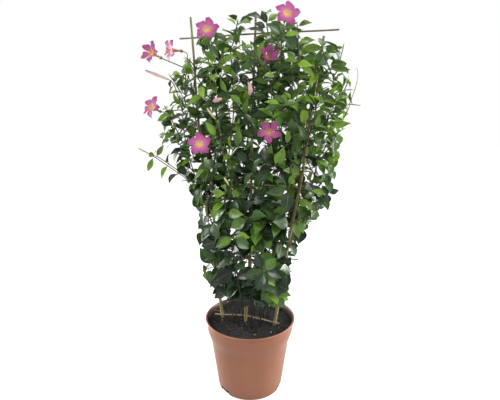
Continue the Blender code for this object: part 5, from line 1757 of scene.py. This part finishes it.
def fill_shoot(shoot, start, step, obstacles, rng):
    """Pairs of leaves between the joints of a shoot."""
    made = []
    distance = start
    while distance < shoot.length - EXTRA_APART:
        point, axis = point_at(shoot.path, shoot.lengths, distance)
        clear = min((abs(distance - joint) for joint in shoot.joints), default=1.0)
        if point.z > EXTRA_FROM and clear > EXTRA_APART:
            turn = rng.uniform(0.0, math.pi)
            for side in ring(Vector(), axis, shoot.side, 1.0, 2):
                outward = Matrix.Rotation(turn, 3, axis) @ side
                root = point + outward * shoot.radius(distance) / 2
                size = rng.uniform(*EXTRA_SIZES)
                leaf = try_leaf(shoot, root, outward, outward, axis, size, obstacles, rng)
                if leaf and inside_box(root + leaf.direction * leaf.length) and not hides_flower(leaf):
                    made.append(leaf)
        distance += step
    return made


def add_shoots(stem, obstacles, rng):
    """Short side shoots in the upper part, between the joints of the CAD source."""
    added = []
    distance = stem.joints[0] + ADDED_STEP / 2
    while distance < stem.length - SHOOT_TIP:
        point, axis = point_at(stem.path, stem.lengths, distance)
        for _ in range(ADDED_TRIES):
            if point.z < ADDED_FROM:
                break
            way = square_to(random_vector(rng), axis)
            reach = rng.uniform(*ADDED_REACH)
            end = point + (way + UP * rng.uniform(*ADDED_RISE)) * reach
            path = arch(point, (way + axis * SHOOT_RISE).normalized(), end)
            shoot = Shoot(path, SHOOT_RADII, [], stem.side)
            shoot.lay_rings(stem.radius(distance) + SHOOT_START)
            if inside_outline(end) and inside_box(end) and not obstacles.meets(shoot.rings):
                obstacles.add_shell(shoot.rings, owner=shoot)
                added.append(shoot)
                break
        distance += ADDED_STEP
    return added


def thicken(stem, obstacles, rng):
    """Added shoots of a stem, and added leaves on it and on all its side shoots."""
    stem.added = add_shoots(stem, obstacles, rng)
    leaves = []
    for shoot in stem.added:
        leaves += fill_shoot(shoot, shoot.length - ADDED_TIP, EXTRA_SHOOT_STEP, obstacles, rng)
        leaves += fill_shoot(shoot, SHOOT_FIRST / 2, EXTRA_SHOOT_STEP, obstacles, rng)
    for shoot in shoots_of(stem):
        if shoot.path[-1].x < SPARSE_LEFT_OF:
            continue
        if shoot is stem:
            leaves += fill_shoot(shoot, shoot.joints[0] - EXTRA_STEM_STEP, EXTRA_STEM_STEP, obstacles, rng)
        elif shoot.joints:
            leaves += fill_shoot(shoot, SHOOT_FIRST / 2, EXTRA_SHOOT_STEP, obstacles, rng)
    return leaves


def placed_leaves(number):
    """The leaves of one stem that are listed where the photo shows them plainly."""
    made = []
    for stem_number, root, tip, width, youth in PLACED_LEAVES:
        if stem_number == number:
            root = Vector(root)
            way = Vector(tip) - root
            direction = way.normalized()
            normal = square_to(PHOTO_EYE - root, direction)
            made.append(Leaf(root, direction, normal, way.length, width, youth))
    return made


def leaves_of(stem):
    """The leaves that the CAD source has on a stem."""
    return [item for shoot in shoots_of(stem) for item in shoot.taken.values() if isinstance(item, Leaf)]


# Flowers

def make_petal(openness, ruffle, breadth, material):
    """One lobe along X, raised from the mouth by how closed the flower is."""
    count = len(PETAL_STATIONS)
    petal, columns = new_blade("petal", count, PETAL_ROWS)
    cup = LOBE_CUP * (1.0 - openness)
    mouth = TUBE_SECTIONS[-1][1]
    narrow = 1.0 - SHUT_NARROWING * (1.0 - openness)
    for i, (reach, half, shift, rise) in enumerate(PETAL_STATIONS):
        x = mouth + reach * math.cos(cup)
        bulge = 1 - (max(reach, 0.0) / LOBE_REACH * 2 - 1) ** 2
        z = reach * math.sin(cup) + LOBE_REFLEX * openness * bulge
        if reach < 0:
            z = PETAL_FOOT
        start = i / (count - 1) - 0.5
        broad = breadth if reach > PETAL_BROAD_FROM else 1.0
        set_column(petal, columns[i], (x - start, shift, z + TUBE_LENGTH), 2 * half * narrow * broad)
        for row, number in enumerate(columns[i]):
            off = row / PETAL_ROWS * 2 - 1
            edge = rise * off * off + PETAL_TILT * off * min(1.0, max(0.0, reach) / PETAL_RUFFLE_FROM)
            if reach > PETAL_RUFFLE_FROM:
                wave = math.sin(PETAL_RUFFLES[0] * i + PETAL_RUFFLES[1] * off)
                edge += ruffle * PETAL_WAVE * off * off * wave
            lift(petal, [number], edge)
    bpy.ops.object.mode_set(mode="OBJECT")
    paint(petal, material)
    finish_modifier(petal, "SUBSURF", levels=1, render_levels=1)
    finish_modifier(petal, "SOLIDIFY", thickness=PETAL_SHEET, offset=0.0)
    smooth(petal)
    return petal


def make_tube(*materials):
    """The flower's tube, turned up its outside, over the lip and down into the throat."""
    profile = [(radius, TUBE_LENGTH * part) for part, radius in (*TUBE_SECTIONS, *TUBE_LIP)]
    tube = lathe("tube", profile, TUBE_SIDES)
    paint(tube, *materials)
    finish_modifier(tube, "SUBSURF", levels=1, render_levels=1)
    face_outwards(tube)
    for face in tube.data.polygons:
        inwards = face.normal.x * face.center.x + face.normal.y * face.center.y < 0
        upwards = face.normal.z > LIP_SLOPE
        face.material_index = 1 if inwards or upwards else 0
    smooth(tube)
    mark_own_place(tube)
    return tube


def mark_own_place(piece):
    """Keep each vertex's place in the piece's own frame, for materials that follow its length."""
    own = piece.data.attributes.new("own", "FLOAT_VECTOR", "POINT")
    own.data.foreach_set("vector", [c for vert in piece.data.vertices for c in vert.co])


def make_flower(number, bloom, patterns, petal_skin):
    """One open flower: tube, throat, stamens, five petals and five sepals."""
    _, _, centre, facing, turn, openness = bloom
    facing = Vector(facing).normalized()
    side = bloom_side(facing, turn)
    base = bloom_base(Vector(centre), facing)
    place = place_on(base, side, facing.cross(side), facing)
    ruffle, breadth, lean = FLOWER_SHAPES[number]
    petal = make_petal(openness, ruffle, breadth, petal_skin)
    shade = SHADED_FLOWERS.get(number, 0.0)
    made = [copy_of(patterns["tube"], place, shade=shade)]
    for i in range(LOBES):
        spin = Matrix.Rotation(math.tau * (i + 0.5) / LOBES, 4, "Z")
        made.append(copy_of(petal, place @ spin, tone=i * PETAL_VARIETY + number, shade=shade))
        made.append(copy_of(patterns["sepal"], place @ spin))
    made.append(copy_of(patterns["stamens"], place))
    for piece in made:
        lean_over(piece, base, facing, math.radians(lean))
    drop(petal)
    show(join(made, "flower_%d" % number), "petal_pink", "bloom_%d" % number)


def lean_over(piece, base, facing, lean):
    """Bend the upper part of a flower's tube, with its mouth and petals, towards the camera."""
    axis = facing.cross(PHOTO_EYE - base).normalized()
    pivot = base + facing * TUBE_LENGTH * LEAN_FROM
    for vert in piece.data.vertices:
        height = (vert.co - pivot).dot(facing) / TUBE_LENGTH / (1.0 - LEAN_FROM)
        turn = Matrix.Rotation(lean * max(0.0, min(1.0, height)), 3, axis)
        vert.co = pivot + turn @ (vert.co - pivot)


def make_sepal(material):
    """A small pointed sepal that leans out from the tube's foot."""
    wide, fine, length = SEPAL
    sepal = start("sepal", bpy.ops.mesh.primitive_cone_add, vertices=SEPAL_SIDES, radius1=wide, radius2=fine,
                  depth=length, location=(0.0, 0.0, length / 2))
    bpy.ops.object.transform_apply(location=True, rotation=True, scale=True)
    sepal.data.transform(Matrix.Translation(SEPAL_FOOT) @ Matrix.Rotation(SEPAL_LEAN, 4, "Y"))
    paint(sepal, material)
    smooth(sepal)
    return sepal


def make_stamens(material):
    """The small cone of stamens in the throat."""
    stamens = lathe("stamens", STAMENS, STAMEN_SIDES)
    paint(stamens, material)
    mark_own_place(stamens)
    smooth(stamens)
    return stamens


def make_closed_flower(node, base, tip, widest, skins):
    """A closed flower or bud: a pleated spindle, twisted about its length. A faded flower is hooked."""
    faded = node.startswith("faded")
    slot = "faded_pink" if faded else "bud_skin"
    prefix, twist, pleat, breadth = CLOSED_SHAPES[slot]
    piece = lathe(prefix + node, CLOSED_PROFILE, TUBE_SIDES)
    only(piece)
    bpy.ops.object.mode_set(mode="EDIT")
    pleats = [v.index for v in piece.data.vertices
              if round(math.atan2(v.co.y, v.co.x) / math.tau * TUBE_SIDES) % PLEAT_EVERY == 0]
    bpy.ops.mesh.select_mode(type="VERT")
    pick(piece, pleats)
    bpy.ops.transform.resize(value=(pleat, pleat, 1.0), center_override=(0.0, 0.0, 0.5))
    bpy.ops.object.mode_set(mode="OBJECT")
    finish_modifier(piece, "SIMPLE_DEFORM", deform_method="TWIST", deform_axis="Z", angle=twist)
    finish_modifier(piece, "SUBSURF", levels=1, render_levels=1)
    if faded:
        for vert in piece.data.vertices:
            vert.co.x += HOOK * math.sin(math.pi * vert.co.z)
    face_outwards(piece)
    mark_own_place(piece)
    base = Vector(base)
    axis = Vector(tip) - base
    side = square_to(BUD_TURN, axis.normalized())
    across = axis.normalized().cross(side)
    radius = widest * breadth
    piece.data.transform(place_on(base, side * radius, across * radius, axis))
    paint(piece, skins["faded_skin" if faded else "bud_pink" if node == PINK_BUD else "bud_green"])
    smooth(piece)
    show(piece, slot, node)


# Trellis, pot and compost

def cane_points(name):
    """Finer points of a cane, and their radii with the swollen knots."""
    points = smooth_path(cane_path(name), PATH_STEP / 2)
    radii = []
    for point in points:
        radius = cane_radius(point.z)
        nearest = min(abs(point.z - knot) for knot in CANE_KNOTS)
        radii.append(radius + KNOT_SWELL * max(0.0, 1.0 - nearest / (2 * KNOT_HALF)))
    return points, radii


def make_trellis(cane_skin, rung_wood, wire_metal):
    for name in CANES:
        piece = tubes(name.replace("cane_", "") + "_cane", [(*cane_points(name), 0)], "cane")
        paint(piece, cane_skin)
        show(piece, "cane_skin", name)
    even, change, turn = RUNG_WAVE
    for number, name in enumerate(RUNGS):
        points = smooth_path(rung_path(name), PATH_STEP)
        radii = [RUNG_RADIUS * (even + change * math.sin(turn * i + number)) for i in range(len(points))]
        piece = tubes(name.replace("rung_", "cross_stick_"), [(points, radii, 0)], "rung")
        paint(piece, rung_wood)
        show(piece, "rung_wood", name)
    points = wire_points()
    piece = tubes("wire_twist", [(points, [WIRE_RADIUS] * len(points), 0)], "wire")
    paint(piece, wire_metal)
    show(piece, "wire_metal", "rung_wire")


def wire_points():
    """The thin wire's turns round the lowest rung."""
    path = rung_path("rung_5")
    lengths = lengths_along(path)
    radius = RUNG_RADIUS + GAP + WIRE_RADIUS / math.cos(math.pi / 4)
    points = []
    for i in range(WIRE_TURNS * 2 * WIRE_POINTS + 1):
        turn = i / 2 / WIRE_POINTS
        centre, axis = point_at(path, lengths, WIRE_START - path[0].x + turn * WIRE_PITCH)
        side = Matrix.Rotation(math.tau * turn, 3, axis) @ UP
        points.append(centre + square_to(side, axis) * radius)
    return points


def collar_curve(inwards=0.0):
    """The soft S from the wall out to the collar, as (radius, height), moved inwards."""
    low, high = COLLAR_CURVE
    start = inner_radius(low) + POT_WALL
    end = inner_radius(high) + POT_WALL
    points = []
    for i in range(COLLAR_STEPS + 1):
        share = i / COLLAR_STEPS
        eased = share * share * (3 - 2 * share)
        points.append((start + (end - start) * eased - inwards, low + (high - low) * share))
    return points


def make_pot_skin(material):
    """The pot, turned finer than its solid, with its drain notches cut."""
    lip_foot = POT_HEIGHT - LIP_DEPTH
    inner = inner_radius(POT_HEIGHT)
    across, along = EDGE_ROUND
    profile = [(FOOT_RADIUS - FOOT_BEVEL, 0.0), (FOOT_RADIUS - FOOT_ROUND[0], FOOT_ROUND[1]),
               (FOOT_RADIUS, FOOT_BEVEL), *collar_curve(), (COLLAR_TOP_RADIUS, lip_foot - LIP_ROUND),
               (LIP_RADIUS - across, lip_foot), (LIP_RADIUS, lip_foot + along),
               (LIP_RADIUS, POT_HEIGHT - LIP_ROUND), (LIP_RADIUS - LIP_ROUND, POT_HEIGHT),
               (inner + across, POT_HEIGHT), (inner, POT_HEIGHT - along),
               *reversed(collar_curve(POT_WALL)), (inner_radius(POT_FLOOR), POT_FLOOR)]
    pot = lathe("pot_skin", profile, POT_SMOOTH_SIDES)
    for angle in NOTCH_ANGLES:
        cutter = start("notch_cutter", bpy.ops.mesh.primitive_cube_add, size=1.0)
        turn = Matrix.Rotation(math.radians(angle), 4, "Z")
        size = Matrix.Diagonal((2 * NOTCH_DEPTH, NOTCH_WIDTH, 2 * NOTCH_HEIGHT, 1.0))
        cutter.data.transform(turn @ Matrix.Translation((FOOT_RADIUS, 0.0, 0.0)) @ size)
        finish_modifier(pot, "BOOLEAN", operation="DIFFERENCE", solver="EXACT", object=cutter)
        drop(cutter)
    pot.data.materials.clear()
    paint(pot, material)
    face_outwards(pot)
    smooth(pot, "pot")
    show(pot, "pot_plastic", "pot")


def soil_height(x, y):
    return SOIL_LEVEL + SOIL_ROUGHNESS * noise.noise(Vector((x, y, 0.0)) * SOIL_GRAIN)


def make_compost(material):
    """The compost body, its top broken into fine lumps."""
    gap = 2 * GAP
    rim = inner_radius(SOIL_LEVEL) - gap
    profile = [(inner_radius(POT_FLOOR) - gap, POT_FLOOR + GAP), *collar_curve(POT_WALL + gap)]
    profile += [(rim - SOIL_STEP * i, SOIL_LEVEL) for i in range(int(rim / SOIL_STEP))]
    compost = lathe("compost_body", profile, COMPOST_SIDES)
    for vert in compost.data.vertices:
        if vert.co.z > SOIL_LEVEL - GAP:
            x, y, _ = vert.co
            fine = noise.turbulence(Vector((x, y, 0.0)) * LUMP_GRAIN + UP, LUMP_OCTAVES, False)
            vert.co.z = soil_height(x, y) + SOIL_LUMPS * (fine - LUMP_MIDDLE)
    face_outwards(compost)
    paint(compost, material)
    smooth(compost)
    show(compost, "compost", "soil")


def make_stray_bits(stalk, straw):
    """The tendril and the bare stalk that stick out on the right, and the straw on the compost."""
    for name, material, slot, bits in (("stray_stalks", stalk, "leaf_green", STRAY_BITS),
                                       ("loose_straw", straw, "rung_wood", (STRAW,))):
        paths = []
        for points, (start, end) in bits:
            path = smooth_path(points, PATH_STEP / 2)
            radii = [start + (end - start) * i / (len(path) - 1) for i in range(len(path))]
            paths.append((path, radii, 0))
        piece = tubes(name, paths, "stem")
        paint(piece, material)
        show(piece, slot)


def make_seedling(leaf):
    """The small sprout in front of the middle cane."""
    made = []
    for i in range(SEEDLING_LEAVES):
        turn = SEEDLING_TURN * i
        rise = SEEDLING_RISE[0] - SEEDLING_RISE[1] * i
        direction = Vector((math.cos(turn), math.sin(turn), rise)).normalized()
        normal = square_to(UP, direction)
        place = place_on(Vector(SEEDLING), direction * SEEDLING_LEAF,
                         normal.cross(direction) * SEEDLING_LEAF / 2, normal * SEEDLING_LEAF)
        made.append(copy_of(leaf, place, tone=SEEDLING_TONE))
    show(join(made, "seedling"), "leaf_green")


def make_crumbs(material, rng):
    """Loose crumbs and flakes of bark on the compost."""
    crumb = start("crumb", bpy.ops.mesh.primitive_ico_sphere_add, subdivisions=1, radius=1.0)
    flake = start("flake", bpy.ops.mesh.primitive_cube_add, size=2.0, enter_editmode=True)
    bpy.ops.mesh.bevel(offset=FLAKE_BEVEL, segments=1)
    bpy.ops.object.mode_set(mode="OBJECT")
    made = []
    for _ in range(CRUMBS):
        off = inner_radius(SOIL_LEVEL) * math.sqrt(rng.random()) * CRUMB_SPREAD
        turn = rng.uniform(0.0, math.tau)
        x, y = off * math.cos(turn), off * math.sin(turn)
        size = rng.uniform(*(BIG_SIZES if rng.random() < BIG_CRUMBS else CRUMB_SIZES))
        pattern, shape = (flake, FLAKE_SHAPE) if rng.random() < FLAKES else (crumb, CRUMB_SHAPE)
        spin = Matrix.Rotation(rng.uniform(0.0, math.tau), 4, "Z")
        tilt = Matrix.Rotation(rng.uniform(-CRUMB_TILT, CRUMB_TILT), 4, "X")
        lifted = Matrix.Translation((x, y, soil_height(x, y) + size * CRUMB_SINK))
        place = lifted @ spin @ tilt @ Matrix.Diagonal((*(size * part for part in shape), 1.0))
        made.append(copy_of(pattern, place, tone=rng.random() ** CRUMB_TONE_POWER))
    drop(crumb, flake)
    piece = join(made, "compost_crumbs")
    paint(piece, material)
    smooth(piece, "crumb")
    show(piece, "compost")


# Stage

def make_stage():
    """A pale floor that shows white, a white world, soft lights and the camera."""
    floor = start("pale_floor", bpy.ops.mesh.primitive_plane_add, size=FLOOR_SIZE,
                  location=(0.0, 0.0, FLOOR_LEVEL))
    material, tree, shader = new_material("pale_floor", **FLOOR_FINISH)
    glow = times(tree, add(tree, "LightPath").outputs["Is Camera Ray"], FLOOR_GLOW)
    lead(tree, shader, Emission_Strength=glow)
    paint(floor, material)
    world = bpy.data.worlds.new("white_room")
    world.use_nodes = True
    tree = world.node_tree
    seen = add(tree, "LightPath").outputs["Is Camera Ray"]
    lead(tree, tree.nodes["Background"], Color=WHITE, Strength=fit(tree, seen, 0.0, 1.0, WORLD_STRENGTH, 1.0))
    bpy.context.scene.world = world
    for name, place, size, power in LIGHTS:
        light = start(name, bpy.ops.object.light_add, type="AREA", location=place)
        light.data.shape = "DISK"
        light.data.size = size
        light.data.energy = power
        light.rotation_euler = (Vector(place) - Vector(LIGHT_AIM)).to_track_quat("Z", "Y").to_euler()
    turn = (math.radians(90.0 - CAMERA_DOWN), 0.0, math.radians(CAMERA_TURN))
    camera = start("camera", bpy.ops.object.camera_add, location=CAMERA_PLACE, rotation=turn)
    camera.data.lens = CAMERA_LENS
    camera.data.sensor_width = CAMERA_SENSOR
    bpy.context.scene.camera = camera
    bpy.context.scene.view_settings.view_transform = "Standard"


def grow_plant():
    """The stems with their shoots and leaves, as in the CAD source, and what stands in their way."""
    rng = random.Random(PLAN_SEED)
    obstacles = Obstacles()
    add_trellis_obstacles(obstacles)
    stems = lay_stems(obstacles)
    lay_blooms(stems, obstacles, rng)
    lay_side_shoots(stems, obstacles, rng)
    lay_leaves(stems, obstacles, rng)
    return stems, obstacles


def main():
    stems, obstacles = grow_plant()
    looks = random.Random(LOOKS_SEED)
    mottle = make_mottle_group()
    fibres = make_fibre_group()
    leaf_sides = make_leaf_materials(mottle, make_vein_group())
    barks = make_stem_materials(mottle)
    _, young_shoot, flower_stalk = barks

    patterns = {name: make_leaf_pattern(name, *shape, leaf_sides) for name, shape in LEAF_PATTERNS.items()}
    for number, stem in enumerate(stems, 1):
        leaves = leaves_of(stem) + thicken(stem, obstacles, looks) + placed_leaves(number)
        model_stems(number, stem, barks)
        set_leaves(number, leaves, patterns, looks)
    make_seedling(patterns["narrow_leaf"])
    drop(*patterns.values())

    throat = make_throat_material()
    parts = {"tube": make_tube(make_tube_material(mottle), throat), "sepal": make_sepal(young_shoot),
             "stamens": make_stamens(throat)}
    petal_skin = make_petal_material(mottle)
    for number, bloom in enumerate(BLOOMS, 1):
        make_flower(number, bloom, parts, petal_skin)
    drop(*parts.values())
    skins = make_closed_materials(mottle)
    for node, (_, _, base, tip, widest) in CLOSED.items():
        make_closed_flower(node, base, tip, widest, skins)

    split_wood = make_stick_material("split_wood", fibres, *SPLIT_WOOD)
    make_stray_bits(flower_stalk, split_wood)
    make_trellis(make_stick_material("cane_bark", fibres, *CANE_BARK), split_wood, make_wire_material())
    make_pot_skin(make_pot_material(mottle))
    compost, crumb = make_compost_materials(mottle)
    make_compost(compost)
    make_crumbs(crumb, looks)
    make_stage()


main()
